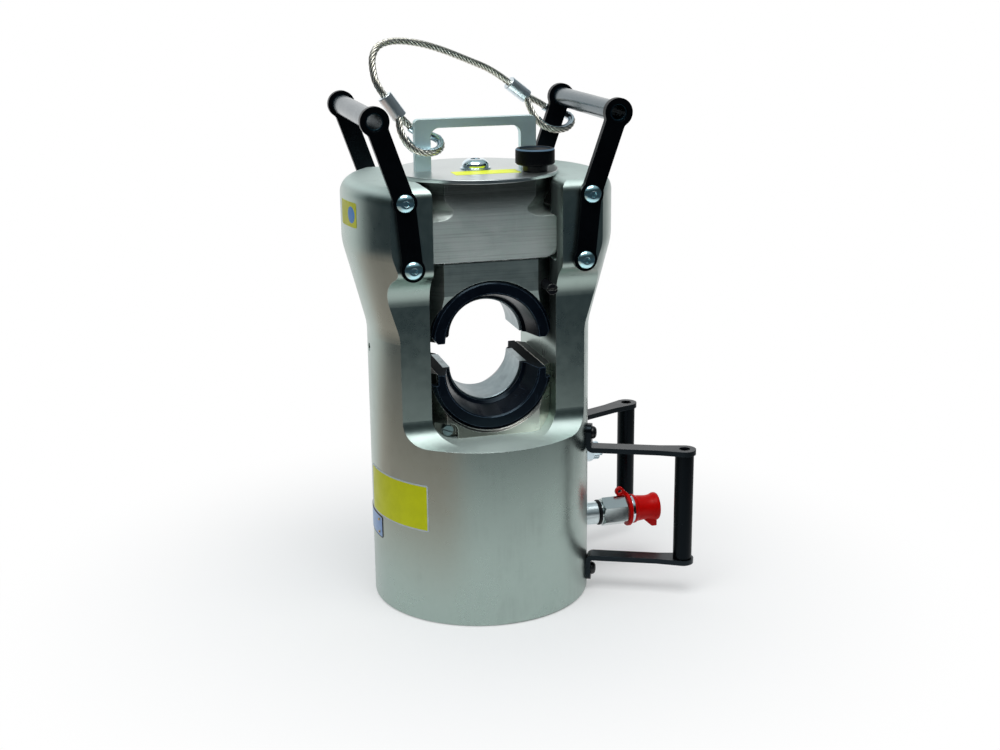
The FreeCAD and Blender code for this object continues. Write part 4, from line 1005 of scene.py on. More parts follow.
@dataclass(frozen=True)
class PlateFinish:
    """A plate or label without any print: two tones and a light skin."""

    name: str
    colour: Colour
    drift: Colour
    metallic: float = 0.0
    roughness: float = 0.35
    disc_place: Point | None = None
    disc_colour: Colour = (0.05, 0.25, 0.75)
    disc_reach: float = 0.009
    disc_fade: float = 0.0003
    tone_scale: float = 60.0
    tone_range: Span = (0.30, 0.70)
    tone_roughness: float = 0.1
    pit_scale: float = 700.0
    relief_strength: float = 0.15
    relief_depth: float = 0.0001
    specular: float = 0.25

    def make(self) -> bpy.types.Material:
        """Build the material and return it."""
        material, weave = start_material(self.name)
        place = weave.place()
        tone = weave.step(weave.noise(place, self.tone_scale, detail=4.0, rough=0.6),
                          *self.tone_range)
        colour = weave.blend(tone, self.colour, self.drift)
        if self.disc_place is not None:
            gap = weave.measure("DISTANCE", place, self.disc_place).outputs["Value"]
            mask = weave.step(gap, self.disc_reach, self.disc_reach + self.disc_fade, 1.0, 0.0)
            colour = weave.blend(mask, colour, self.disc_colour)
        weave.skin(colour,
                   weave.math("MULTIPLY_ADD", tone, self.tone_roughness, self.roughness),
                   weave.relief(weave.noise(place, self.pit_scale, detail=2.0),
                                self.relief_strength, self.relief_depth),
                   {"Metallic": self.metallic, "Specular IOR Level": self.specular})
        return material


# The head's finishes

SHOULDER_REACH = 0.153
DISC_TURN = math.radians(-167.0)
DISC_HEIGHT = 0.4635

FINISHES: tuple[Finish, ...] = (
    # Up faces get a painted highlight and the window's inner walls get painted shade.
    Finish("blasted_body", (0.345, 0.430, 0.395), (0.375, 0.460, 0.425), roughness=0.26,
           edge=(0.62, 0.68, 0.66), grain=1500.0, pits=0.12, scuffs=0.02, film=0.14,
           upward=(0.72, 0.83, 0.79), upward_roughness=0.62,
           painted_wall_shade=(0.100, 0.300, 0.502)),
    # Painted shadow of the disc across the crosshead's top.
    Finish("brushed_steel", (0.88, 1.0, 0.94), (0.94, 1.0, 0.97), roughness=0.50,
           worked=Worked.GROUND, marks=4.0, pits=0.15, edge=(0.95, 0.98, 0.96), film=0.15,
           painted_shade_z=(0.456, 0.484), streaks=0.32),
    Finish("machined_steel", (0.36, 0.41, 0.39), (0.42, 0.47, 0.45), roughness=0.34,
           worked=Worked.GROUND, marks=0.30, pits=0.15, edge=(0.75, 0.78, 0.77), film=0.2),
    Finish("disc_steel", (0.60, 0.65, 0.64), (0.66, 0.70, 0.69), roughness=0.28,
           worked=Worked.TURNED, marks=0.25, pits=0.10, edge=(0.85, 0.88, 0.86), film=0.1),
    # Painted shade along the upper holder's top, under the crosshead.
    Finish("holder_steel", (0.44, 0.53, 0.51), (0.50, 0.59, 0.56), roughness=0.36,
           worked=Worked.MILLED, marks=0.8, pits=0.2, edge=(0.75, 0.80, 0.78), film=0.15,
           painted_shade_z=(0.4066, 0.4084), streaks=0.3),
    # Painted shade on the left side and on the faces that look up, and a white painted highlight
    # along the edges.
    Finish("ram_steel", (0.76, 0.76, 0.68), (0.84, 0.83, 0.75), roughness=0.24,
           worked=Worked.MILLED, marks=0.35, pits=0.15, edge=(1.0, 0.99, 0.94),
           edge_width=0.0012, edge_share=0.8, film=0.15, painted_shade_x=(-0.012, 0.050),
           upward=(0.08, 0.09, 0.085), upward_roughness=0.6, upward_from=(0.93, 0.99)),
    # Bluish painted highlight along the die rings' edges; up faces get a rougher skin and a
    # slightly darker colour.
    Finish("die_black", (0.002, 0.0035, 0.007), (0.004, 0.0065, 0.012), metallic=0.0,
           roughness=0.16, spread=0.06, worked=Worked.PLAIN, pits=0.08,
           edge=(0.14, 0.22, 0.32), edge_width=0.0011, edge_share=0.8, scuffs=0.2,
           film=0.1, specular=0.2,
           tint=(0.60, 0.84, 1.0), upward=(0.002, 0.004, 0.006),
           upward_roughness=0.8, upward_from=(0.93, 0.99)),
    Finish("die_steel", (0.25, 0.32, 0.335), (0.19, 0.25, 0.27), roughness=0.28,
           worked=Worked.PLAIN, pits=0.1, edge=(0.7, 0.74, 0.76), film=0.9),
    Finish("zinc", (0.74, 0.86, 0.92), (0.66, 0.80, 0.87), roughness=0.13, spread=0.06,
           worked=Worked.PLAIN, pits=0.06, edge=(0.9, 0.93, 0.95), scuffs=0.3, film=0.05),
    Finish("soft_zinc", (0.86, 0.96, 0.97), (0.80, 0.91, 0.93), roughness=0.34, spread=0.06,
           worked=Worked.PLAIN, pits=0.06, edge=(0.95, 0.98, 0.98), scuffs=0.3, film=0.05),
    Finish("blue_zinc", (0.62, 0.94, 1.0), (0.54, 0.88, 0.96), roughness=0.09, spread=0.04,
           worked=Worked.PLAIN, pits=0.04, edge=(0.92, 1.0, 1.0), edge_width=0.0006,
           edge_share=0.9, scuffs=0.3, film=0.03),
    Finish("chrome", (0.80, 0.92, 0.97), (0.74, 0.87, 0.93), roughness=0.07, spread=0.04,
           worked=Worked.PLAIN, pits=0.02, edge=(0.95, 0.98, 1.0), scuffs=0.2, film=0.03),
    Finish("nickel", (0.56, 0.63, 0.63), (0.50, 0.57, 0.57), roughness=0.16, spread=0.06,
           worked=Worked.PLAIN, pits=0.06, edge=(0.90, 0.92, 0.90), scuffs=0.3, film=0.04),
    Finish("handle_black", (0.0010, 0.0012, 0.0018), (0.0020, 0.0024, 0.0034), metallic=0.0,
           roughness=0.26, spread=0.08, pits=0.10, grain=700.0, edge=(0.010, 0.014, 0.020),
           edge_share=0.3, scuffs=0.1, film=0.0, specular=0.12, tint=(0.62, 0.85, 1.0)),
    Finish("grip_black", (0.0015, 0.0045, 0.0075), (0.003, 0.0070, 0.0105), metallic=0.0,
           roughness=0.22, spread=0.06, pits=0.10, grain=700.0, edge=(0.010, 0.014, 0.020),
           edge_share=0.3, scuffs=0.1, film=0.0, specular=1.0, tint=(0.30, 0.78, 1.0),
           coat=0.35),
    Finish("bracket_black", (0.0010, 0.0012, 0.0018), (0.0020, 0.0024, 0.0034),
           metallic=0.0, roughness=0.26, spread=0.08, pits=0.10, grain=700.0,
           edge=(0.020, 0.028, 0.036), edge_share=0.4, scuffs=0.1, film=0.0, specular=0.3,
           tint=(0.62, 0.85, 1.0)),
    Finish("black_screw", (0.004, 0.004, 0.006), (0.008, 0.008, 0.010), metallic=0.2,
           roughness=0.30, pits=0.1, edge=(0.08, 0.10, 0.12), film=0.0),
    # Bright edges on the bail: rubbed wear and a painted highlight.
    Finish("aluminium", (0.74, 0.93, 0.94), (0.68, 0.87, 0.88), roughness=0.48,
           worked=Worked.GROUND, marks=0.8, pits=0.2, edge=(0.92, 0.97, 0.96),
           edge_width=0.0011, edge_share=0.85, film=0.05),
    Finish("ferrule_alloy", (0.88, 0.95, 0.98), (0.80, 0.88, 0.93), roughness=0.30,
           worked=Worked.PLAIN, pits=0.1, edge=(0.92, 0.94, 0.96), scuffs=0.3, film=0.05),
    Finish("thimble_zinc", (0.66, 0.75, 0.80), (0.56, 0.66, 0.72), roughness=0.20,
           worked=Worked.PLAIN, pits=0.1, edge=(0.88, 0.9, 0.92), scuffs=0.3, film=0.05),
    Finish("red_rubber", (0.74, 0.003, 0.002), (0.64, 0.002, 0.0015), metallic=0.0,
           roughness=0.34, spread=0.1, pits=0.3, grain=420.0, edge=(0.80, 0.02, 0.012),
           edge_share=0.3, scuffs=0.1, film=0.3, specular=0.12),
    Finish("black_rubber", (0.004, 0.004, 0.006), (0.008, 0.008, 0.010), metallic=0.0,
           roughness=0.45, pits=0.3, grain=600.0, edge=(0.02, 0.02, 0.02), film=0.0,
           specular=0.2),
    Finish("spring_steel", (0.22, 0.22, 0.22), (0.3, 0.3, 0.3), roughness=0.35,
           edge=(0.5, 0.5, 0.5)),
    Finish("wear_bronze", (0.30, 0.22, 0.12), (0.36, 0.27, 0.15), metallic=0.3,
           roughness=0.5, edge=(0.5, 0.4, 0.25)),
    Finish("pin_black", (0.004, 0.004, 0.006), (0.010, 0.011, 0.014), metallic=0.3,
           roughness=0.20, worked=Worked.PLAIN, pits=0.1, edge=(0.55, 0.56, 0.52),
           edge_share=0.9, specular=0.3),
    Finish("brass", (0.62, 0.45, 0.20), (0.5, 0.36, 0.16), roughness=0.3,
           worked=Worked.PLAIN, edge=(0.8, 0.66, 0.4)),
)

KNOB_FINISH = KnurledFinish("knurled_black", (0.058, -0.0406, 0.519))

BARE_FINISHES: tuple[WireFinish | PlateFinish, ...] = (
    WireFinish("rope_wire"),
    PlateFinish("yellow_plate", (0.70, 0.76, 0.003), (0.64, 0.70, 0.002)),
    PlateFinish("strip_yellow", (0.86, 0.93, 0.006), (0.80, 0.88, 0.004)),
    PlateFinish("pale_border", (0.58, 0.66, 0.72), (0.52, 0.60, 0.66)),
    PlateFinish("dark_border", (0.012, 0.016, 0.022), (0.02, 0.024, 0.03)),
    PlateFinish("blue_plate", (0.16, 0.32, 0.62), (0.30, 0.46, 0.68), metallic=0.6,
                roughness=0.3),
    PlateFinish("yellow_disc_plate", (0.72, 0.76, 0.003), (0.66, 0.70, 0.002),
                disc_place=(SHOULDER_REACH * math.cos(DISC_TURN),
                            SHOULDER_REACH * math.sin(DISC_TURN), DISC_HEIGHT),
                disc_colour=(0.07, 0.30, 0.78)),
)


class Paints:
    """All finishes of the head, made once."""

    def __init__(self) -> None:
        """Build the shared groups and every finish."""
        effects = SharedEffects()
        self.by_name = {finish.name: finish.make(effects) for finish in (*FINISHES, KNOB_FINISH)}
        self.by_name |= {finish.name: finish.make() for finish in BARE_FINISHES}

    def get(self, name: str) -> bpy.types.Material:
        """The material of that name."""
        return self.by_name[name]

    def cover(self, piece: bpy.types.Object, name: str) -> None:
        """Give every slot of a piece one finish.

        Args:
            piece: the mesh object.
            name: the finish's name.
        """
        piece.data.materials.clear()
        piece.data.materials.append(self.by_name[name])


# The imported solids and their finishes

NODE_FINISHES: dict[str, tuple[str, ...]] = {
    "blasted_body": ("frame_body",),
    "brushed_steel": ("crosshead",),
    "machined_steel": ("base_plug", "ram_piston", "coupler_poppet"),
    "disc_steel": ("cover_disc",),
    "holder_steel": ("upper_die_holder",),
    "ram_steel": ("lower_die_holder",),
    "die_black": ("upper_adapter", "lower_adapter"),
    "die_steel": ("upper_insert", "lower_insert", "lower_release_pin"),
    "zinc": ("thrust_washer", "relief_plug", "coupler_collar", "disc_dowels"),
    "nickel": ("coupler_body",),
    "handle_black": ("bar_front_left", "bar_front_right", "bar_rear_left", "bar_rear_right",
                     "side_grip_front", "side_grip_rear"),
    "grip_black": ("upper_grip_left", "upper_grip_right"),
    "bracket_black": ("side_upper_bracket_front", "side_upper_bracket_rear",
                      "side_lower_bracket_front", "side_lower_bracket_rear"),
    "soft_zinc": ("coupler_nipple",),
    "black_screw": ("side_screws", "bail_screws", "holder_bolts", "column_screw", "knob_bush"),
    "aluminium": ("bail_handle",),
    "ferrule_alloy": ("ferrule_left", "ferrule_right"),
    "thimble_zinc": ("thimble_left", "thimble_right"),
    "red_rubber": ("tether_ring",),
    "black_rubber": ("coupler_ring", "plug_ring", "piston_seal", "rod_wiper"),
    "spring_steel": ("return_spring", "lower_lock_plunger", "upper_lock_plunger"),
    "wear_bronze": ("wear_ring",),
    "pin_black": ("upper_release_pin",),
    "knurled_black": ("knob_plunger",),
}


class Solids:
    """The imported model's own nodes, which keep their meshes and get finishes."""

    def __init__(self, frame: dict) -> None:
        """Keep the loaded frame's nodes."""
        self.nodes = frame["nodes"]

    def dress(self, paints: Paints) -> None:
        """Assign each node its finish.

        Args:
            paints: the finishes.
        """
        for finish, names in NODE_FINISHES.items():
            for name in names:
                paints.cover(self.nodes[name], finish)
                log.info("finish %s on %s", finish, name)


# Rope, eyes and strap


@dataclass
class Strands:
    """Helical strands round one line, as in a wire rope."""

    count: int = 6
    strand_reach: float = 0.00136
    lay_reach: float = 0.00262
    core_reach: float = 0.00150
    lay: float = 0.036
    sides: int = 10
    spacing: float = 0.0013
    least_spots: int = 8
    least_span: float = 1e-12
    millimetres: float = 1000.0

    def line_of(self, name: str, points: tuple[Point, ...]) -> list[Vector]:
        """Read the smooth line of a NURBS spline with these control points.

        Args:
            name: the name of the curve that is made and removed.
            points: the route's control points in metres.

        Returns:
            Points along the spline.
        """
        data = bpy.data.curves.new(name, "CURVE")
        data.dimensions = "3D"
        spline = data.splines.new("NURBS")
        spline.points.add(len(points) - 1)
        for spot, target in zip(points, spline.points):
            target.co = (*spot, 1.0)
        spline.order_u = 3
        spline.use_endpoint_u = True
        spline.resolution_u = 32
        curve = bpy.data.objects.new(name, data)
        bpy.context.scene.collection.objects.link(curve)
        bpy.context.view_layer.update()
        mesh = bpy.data.meshes.new_from_object(curve)
        line = [v.co.copy() for v in mesh.vertices]
        bpy.data.objects.remove(curve)
        bpy.data.meshes.remove(mesh)
        return line

    def even(self, line: list[Vector]) -> list[Vector]:
        """The same line with evenly spaced points.

        Args:
            line: points along the spline.

        Returns:
            Points about one spacing apart.
        """
        total = [0.0]
        for a, b in zip(line, line[1:]):
            total.append(total[-1] + (b - a).length)
        count = max(self.least_spots, round(total[-1] / self.spacing))
        out = []
        seek = 0
        for i in range(count + 1):
            want = total[-1] * i / count
            while seek < len(total) - 2 and total[seek + 1] < want:
                seek += 1
            span = max(total[seek + 1] - total[seek], self.least_span)
            out.append(line[seek].lerp(line[seek + 1], (want - total[seek]) / span))
        return out

    @staticmethod
    def frames(spots: list[Vector]) -> tuple[list[Vector], list[Vector]]:
        """Directions along and across a line, carried along it without a twist.

        Args:
            spots: evenly spaced points.

        Returns:
            The direction of the line and one direction across it at each point.
        """
        last = len(spots) - 1
        tangents = [(spots[min(i + 1, last)] - spots[max(i - 1, 0)]).normalized()
                    for i in range(len(spots))]
        side = tangents[0].orthogonal().normalized()
        sides = []
        for tangent in tangents:
            side = (side - tangent * side.dot(tangent)).normalized()
            sides.append(side)
        return tangents, sides

    def ring(self, spot: Vector, tangent: Vector, side: Vector, turn: float,
             core: bool) -> list[Vector]:
        """The corners of one ring of a strand.

        Args:
            spot: the point in the rope's middle.
            tangent: the rope's direction there.
            side: a direction across the rope.
            turn: how far the strand has gone round the rope, in radians.
            core: whether it is the straight strand in the middle.

        Returns:
            The ring's corners.
        """
        cross = tangent.cross(side)
        out = side * math.cos(turn) + cross * math.sin(turn)
        about = cross * math.cos(turn) - side * math.sin(turn)
        slope = 0.0 if core else 2 * math.pi * self.lay_reach / self.lay
        middle = spot if core else spot + out * self.lay_reach
        third = (tangent + about * slope).normalized().cross(out).normalized()
        reach = self.core_reach if core else self.strand_reach
        angles = [2 * math.pi * k / self.sides for k in range(self.sides)]
        return [middle + (out * math.cos(a) + third * math.sin(a)) * reach for a in angles]

    def wrap(self, first: int, rings: int, step: float, faces: list[tuple[int, ...]],
             chart: list[Span]) -> None:
        """Add one strand's faces, its two ends and their UV corners.

        Args:
            first: the number of the strand's first corner.
            rings: how many rings it has.
            step: the length between two rings.
            faces: the faces so far.
            chart: the UV corners so far, millimetres along and turns round the strand.
        """
        for i in range(rings - 1):
            low = first + i * self.sides
            u0, u1 = i * step * self.millimetres, (i + 1) * step * self.millimetres
            for k in range(self.sides):
                nxt = (k + 1) % self.sides
                faces.append((low + k, low + nxt, low + self.sides + nxt, low + self.sides + k))
                v0, v1 = k / self.sides, (k + 1) / self.sides
                chart += [(u0, v0), (u0, v1), (u1, v1), (u1, v0)]
        start = range(first, first + self.sides)
        end = [corner + (rings - 1) * self.sides for corner in start]
        faces += [tuple(reversed(start)), tuple(end)]
        chart += [(0.0, 0.0)] * (2 * self.sides)

    def twist(self, name: str, line: list[Vector]) -> bpy.types.Object:
        """Lay the strands round a line as one mesh.

        Args:
            name: the piece's name.
            line: points along the rope's middle.

        Returns:
            The mesh object, with a UV map along and round each strand.
        """
        spots = self.even(line)
        tangents, sides = self.frames(spots)
        step = (spots[1] - spots[0]).length
        verts: list[Vector] = []
        faces: list[tuple[int, ...]] = []
        chart: list[Span] = []
        for strand in range(self.count + 1):
            first = len(verts)
            for i, spot in enumerate(spots):
                turn = 2 * math.pi * (i * step / self.lay + strand / self.count)
                verts += self.ring(spot, tangents[i], sides[i], turn, strand == self.count)
            self.wrap(first, len(spots), step, faces, chart)
        mesh = bpy.data.meshes.new(name)
        mesh.from_pydata([tuple(v) for v in verts], [], faces)
        layer = mesh.uv_layers.new(name="strand")
        for slot, pair in zip(layer.data, chart):
            slot.uv = pair
        piece = bpy.data.objects.new(name, mesh)
        bpy.context.scene.collection.objects.link(piece)
        Bench.settle(piece, 60.0)
        return piece


@dataclass
class Lanyard:
    """The steel rope that keeps the crosshead with the frame, with its two eyes."""

    diameter: float = 0.008
    length: float = 0.2612
    ferrule_length: float = 0.029
    left_mouth: Point = (-0.1016, 0.0, 0.5866)
    left_fall: Point = (0.58, 0.0, -0.815)
    left_lead: float = 0.014
    right_foot: Point = (0.0900, 0.1010, 0.5712)
    right_fall: Point = (0.79, 0.15, -0.60)
    right_lead: float = 0.024
    eye_lead: float = 0.004
    strand_gap: float = 0.00415
    bends: tuple[Point, ...] = (
        (-0.1125, 0.0060, 0.6120), (-0.1120, 0.0130, 0.6290), (-0.1020, 0.0205, 0.6415),
        (-0.0775, 0.0295, 0.6445), (-0.0385, 0.0455, 0.6370), (0.0110, 0.0705, 0.6180))
    left_bends: tuple[Point, ...] = (
        (-0.0880, -0.0070, 0.5550), (-0.0850, -0.0105, 0.5430), (-0.0780, -0.0122, 0.5325),
        (-0.0685, -0.0126, 0.5255), (-0.0573, -0.0123, 0.5232), (-0.0455, -0.0095, 0.5243),
        (-0.0385, -0.0010, 0.5285), (-0.0375, 0.0070, 0.5345), (-0.0435, 0.0118, 0.5390),
        (-0.0559, 0.0128, 0.5428), (-0.0680, 0.0122, 0.5475), (-0.0770, 0.0093, 0.5565))
    right_bends: tuple[Point, ...] = (
        (0.0909, 0.0955, 0.5625), (0.0961, 0.0915, 0.5491), (0.1049, 0.0888, 0.5382),
        (0.1156, 0.0882, 0.5328), (0.1269, 0.0886, 0.5311), (0.1385, 0.0920, 0.5327),
        (0.1470, 0.0995, 0.5376), (0.1490, 0.1070, 0.5438), (0.1420, 0.1123, 0.5485),
        (0.1311, 0.1136, 0.5510), (0.1197, 0.1128, 0.5557), (0.1045, 0.1083, 0.5650))

    def right_mouth(self) -> Vector:
        """Where the rope leaves the right ferrule."""
        return Vector(self.right_foot) - Vector(self.right_fall).normalized() * self.ferrule_length

    def left_foot(self) -> Vector:
        """Where the left eye leaves its ferrule."""
        return Vector(self.left_mouth) + Vector(self.left_fall).normalized() * self.ferrule_length

    def route(self) -> tuple[Point, ...]:
        """The rope's control points from the left ferrule to the right one."""
        first = Vector(self.left_mouth) - Vector(self.left_fall).normalized() * self.left_lead
        mouth = self.right_mouth()
        last = mouth - Vector(self.right_fall).normalized() * self.right_lead
        return (self.left_mouth, tuple(first), *self.bends, tuple(last), tuple(mouth))

    def eye(self, name: str, foot: Vector, fall: Point, bends: tuple[Point, ...],
            strands: Strands) -> bpy.types.Object:
        """One eye, which goes in front of its bar, round it and back behind it.

        Args:
            name: the piece's name.
            foot: the point where the eye leaves the ferrule.
            fall: the ferrule's direction.
            bends: the eye's control points.
            strands: the strand maker.

        Returns:
            The mesh object.
        """
        inside = foot - Vector(fall).normalized() * self.eye_lead
        gap = Vector((0.0, self.strand_gap, 0.0))
        points = (tuple(inside - gap), *bends, tuple(inside + gap))
        return strands.twist(name, strands.line_of(name + "_line", points))

    def build(self, paints: Paints) -> None:
        """Args:
            paints: the finishes.
        """
        strands = Strands()
        line = strands.line_of("lanyard_line", self.route())
        rope = strands.twist("wire_rope", line)
        left = self.eye("eye_left", self.left_foot(), self.left_fall, self.left_bends, strands)
        right = self.eye("eye_right", Vector(self.right_foot), self.right_fall, self.right_bends,
                         strands)
        for piece, node in ((rope, "lanyard_rope"), (left, "lanyard_eye_left"),
                            (right, "lanyard_eye_right")):
            paints.cover(piece, "rope_wire")
            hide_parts(node)
            log.info("rope piece %s", piece.name)
        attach(left, "crosshead")
        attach(right, "frame")
        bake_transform(rope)


@dataclass
class CapStrap:
    """The rubber strap behind the coupler, from the tether ring to the cap."""

    bands: int = 14
    slack: float = 0.0006
    inner_share: float = 0.4
    edge: float = 0.0006

    def build(self, paints: Paints) -> None:
        """Model the strap with a slack hump.

        Args:
            paints: the finishes.
        """
        low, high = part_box("cap_strap")
        middle = (low + high) / 2
        strap = Bench.block("rubber_strap", low, high)
        Bench.edit_all()
        for i in range(1, self.bands):
            x = low.x + (high.x - low.x) * i / self.bands
            bpy.ops.mesh.select_all(action="SELECT")
            bpy.ops.mesh.bisect(plane_co=(x, 0, 0), plane_no=(1, 0, 0))
        Bench.leave_edit()
        for vertex in strap.data.vertices:
            share = (vertex.co.x - low.x) / (high.x - low.x)
            part = 1.0 if vertex.co.y > middle.y else self.inner_share
            vertex.co.y -= self.slack * part * math.sin(math.pi * share)
        Bench.apply(strap, "BEVEL", width=self.edge, segments=3, limit_method="ANGLE")
        Bench.settle(strap, 50.0)
        paints.cover(strap, "red_rubber")
        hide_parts("cap_strap")
        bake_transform(strap)
        log.info("strap %s", strap.name)


# Turned fasteners and the rubber cap


@dataclass
class DomedScrew:
    """A domed head with a hexagon socket on a round shank, modelled on Z from its seat."""

    name: str
    reach: float
    rim: float
    height: float
    socket: float
    depth: float
    shank: float
    length: float
    finish: str = "chrome"
    steps: int = 9
    sides: int = 48
    crown: float = 64.0
    tip: float = 0.0006
    seat_edge: float = 0.0002

    def build(self, paints: Paints) -> bpy.types.Object:
        """Turn the screw ring by ring and cut its socket.

        Args:
            paints: the finishes.

        Returns:
            The screw with its seat at the origin and its head along +Z.
        """
        profile = [(self.shank - self.tip, -self.length), (self.shank, self.tip - self.length),
                   (self.shank, 0.0), (self.reach - self.seat_edge, 0.0),
                   (self.reach, self.seat_edge)]
        top = math.sin(math.radians(self.crown))
        for i in range(self.steps + 1):
            turn = math.radians(self.crown * i / self.steps)
            rise = (self.height - self.rim) * (math.sin(turn) / top)
            profile.append((self.reach * math.cos(turn), self.rim + rise))
        screw = Bench.lathe(self.name, tuple(profile), self.sides)
        Bench.clear()
        bpy.ops.mesh.primitive_cylinder_add(
            vertices=6, radius=self.socket / math.sqrt(3.0), depth=2 * self.depth,
            location=(0, 0, self.height))
        tool = Bench.named(self.name + "_key")
        Bench.pick(tool)
        Bench.freeze()
        Bench.cut(screw, tool)
        Bench.settle(screw, 32.0)
        Bench.apply(screw, "WEIGHTED_NORMAL", keep_sharp=True)
        paints.cover(screw, self.finish)
        return screw


@dataclass
class Fasteners:
    """The eight screws of the upper bars and the bolt in the middle of the disc."""

    bar_face: float = 0.1050
    bar_spots: tuple[Span, ...] = ((0.1033, 0.4840), (0.0964, 0.4120))
    washer_top: float = 0.5043
    key_turn: float = 17.0

    def build(self, paints: Paints) -> None:
        """Model the bar screws and the bolt.

        Args:
            paints: the finishes.
        """
        self.bar_screws(paints)
        self.disc_bolt(paints)

    def bar_screws(self, paints: Paints) -> None:
        """Model one screw and copy it to its eight places.

        Args:
            paints: the finishes.
        """
        first = DomedScrew("bar_screw", reach=0.0100, rim=0.0008, height=0.0052, socket=0.0062,
                           depth=0.0030, shank=0.00495, length=0.0300,
                           finish="blue_zinc").build(paints)
        places = [(hand * x, face * self.bar_face, z)
                  for x, z in self.bar_spots for hand in (-1, 1) for face in (-1, 1)]
        for number, place in enumerate(places, 1):
            out = Vector((0.0, math.copysign(1.0, place[1]), 0.0))
            spin = Matrix.Rotation(math.radians(self.key_turn * number), 4, "Z")
            screw = Bench.copy(first, "bar_screw_%d" % number, Bench.aim(place, out, "X") @ spin)
            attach(screw, "frame")
            if number == 1:
                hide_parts("bar_screws")
        bpy.data.objects.remove(first)
        log.info("bar screws %d", len(places))

    def disc_bolt(self, paints: Paints) -> None:
        """Model the bolt, which stays with the frame when the crosshead turns.

        Args:
            paints: the finishes.
        """
        bolt = DomedScrew("disc_bolt", reach=0.0152, rim=0.0024, height=0.0094, socket=0.0110,
                          depth=0.0045, shank=0.0099, length=0.1120, steps=14, sides=72,
                          crown=54.0).build(paints)
        bolt.data.transform(Matrix.Translation((0.0, 0.0, self.washer_top)))
        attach(bolt, "frame")
        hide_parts("centre_bolt")
        log.info("bolt %s", bolt.name)


@dataclass
class KnobSpring:
    """The coil round the stop knob's stem, which is squeezed when the knob is pulled."""

    centre: Span = (0.058, -0.0406)
    low_z: float = 0.4829
    high_z: float = 0.5028
    coil_reach: float = 0.0051
    wire_reach: float = 0.0007
    wire_sides: int = 8
    turns: int = 7
    turn_steps: int = 24

    def build(self, paints: Paints) -> None:
        """Wind the coil from one ring of wire.

        Args:
            paints: the finishes.
        """
        Bench.clear()
        x, y = self.centre
        bpy.ops.mesh.primitive_circle_add(
            vertices=self.wire_sides, radius=self.wire_reach, fill_type="NGON",
            location=(self.coil_reach, 0, 0), rotation=(math.radians(90.0), 0, 0))
        coil = Bench.named("knob_coil")
        Bench.freeze()
        Bench.edit_all()
        bpy.ops.mesh.delete(type="ONLY_FACE")
        Bench.leave_edit()
        Bench.apply(coil, "SCREW", angle=2 * math.pi, iterations=self.turns,
                    screw_offset=(self.high_z - self.low_z) / self.turns,
                    steps=self.turn_steps, render_steps=self.turn_steps, use_merge_vertices=True)
        Bench.edit_all()
        bpy.ops.mesh.fill_holes(sides=self.wire_sides)
        Bench.face_outwards()
        coil.data.transform(Matrix.Translation((x, y, self.low_z)))
        Bench.settle(coil, 60.0)
        paints.cover(coil, "spring_steel")
        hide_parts("knob_spring")
        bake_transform(coil)
        log.info("spring %s", coil.name)


@dataclass
class DustCap:
    """The red rubber cap: a lip over the collar, a waist, a rolled rim and a pull tab."""

    low_x: float = 0.1963
    middle_z: float = 0.073
    sides: int = 64
    tab_half: float = 0.0060
    tab_x: Span = (0.2058, 0.2248)
    tab_drop: Span = (0.0240, 0.0125)
    tab_foot: Span = (0.0200, 0.0080)
    tab_sweep: float = 0.0125
    lug_x: Span = (0.2210, 0.2252)
    lug_y: Span = (0.0150, 0.0232)
    lug_half: float = 0.0035
    bore: tuple[Span, ...] = (
        (0.0131, 0.0127), (0.0131, 0.0003), (0.0171, 0.0002), (0.0171, -0.0032))
    profile: tuple[Span, ...] = (
        (0.0176, -0.0032), (0.0178, -0.0026), (0.0176, -0.0004), (0.0164, 0.0008),
        (0.0159, 0.0030), (0.0157, 0.0060), (0.0152, 0.0100), (0.0149, 0.0140), (0.0150, 0.0175),
        (0.0155, 0.0205), (0.0164, 0.0228), (0.0172, 0.0246), (0.0174, 0.0264), (0.0171, 0.0281),
        (0.0163, 0.0293), (0.0150, 0.0296), (0.0138, 0.0290), (0.0130, 0.0274), (0.0124, 0.0262),
        (0.0080, 0.0258))

    def build(self, paints: Paints) -> None:
        """Turn the cap, add its tab and the strap's lug, and dress it.

        Args:
            paints: the finishes.
        """
        cap = Bench.lathe("rubber_cap", self.bore + self.profile, self.sides)
        cap.data.transform(Matrix.Translation((self.low_x, 0.0, self.middle_z))
                           @ Matrix.Rotation(math.radians(90.0), 4, "Y"))
        Bench.settle(cap, 50.0)
        for piece in (cap, self.tab(), self.lug()):
            paints.cover(piece, "red_rubber")
            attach(piece, "cap")
        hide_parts("dust_cap")
        log.info("cap %s", cap.name)

    def tab(self) -> bpy.types.Object:
        """Model the pull tab under the rim, swept back to the tip, and return it."""
        low, high = self.tab_drop
        back, end = self.tab_x
        tab = Bench.block("cap_tab", (back, -self.tab_half, self.middle_z - low),
                          (end, self.tab_half, self.middle_z - high))
        drop, inset = self.tab_foot
        Bench.select(tab, Pick.CORNERS,
                     lambda v: v.co.z < self.middle_z - drop and v.co.x < end - inset)
        bpy.ops.transform.translate(value=(self.tab_sweep, 0.0, 0.0))
        Bench.leave_edit()
        Bench.apply(tab, "BEVEL", width=0.0012, segments=3)
        Bench.settle(tab, 50.0)
        return tab

    def lug(self) -> bpy.types.Object:
        """Model the lug that holds the strap's end, and return it."""
        near, far = zip(self.lug_x, self.lug_y,
                        (self.middle_z - self.lug_half, self.middle_z + self.lug_half))
        lug = Bench.block("cap_lug", near, far)
        Bench.apply(lug, "BEVEL", width=0.0005, segments=2)
        Bench.settle(lug, 50.0)
        return lug


# Bare plates


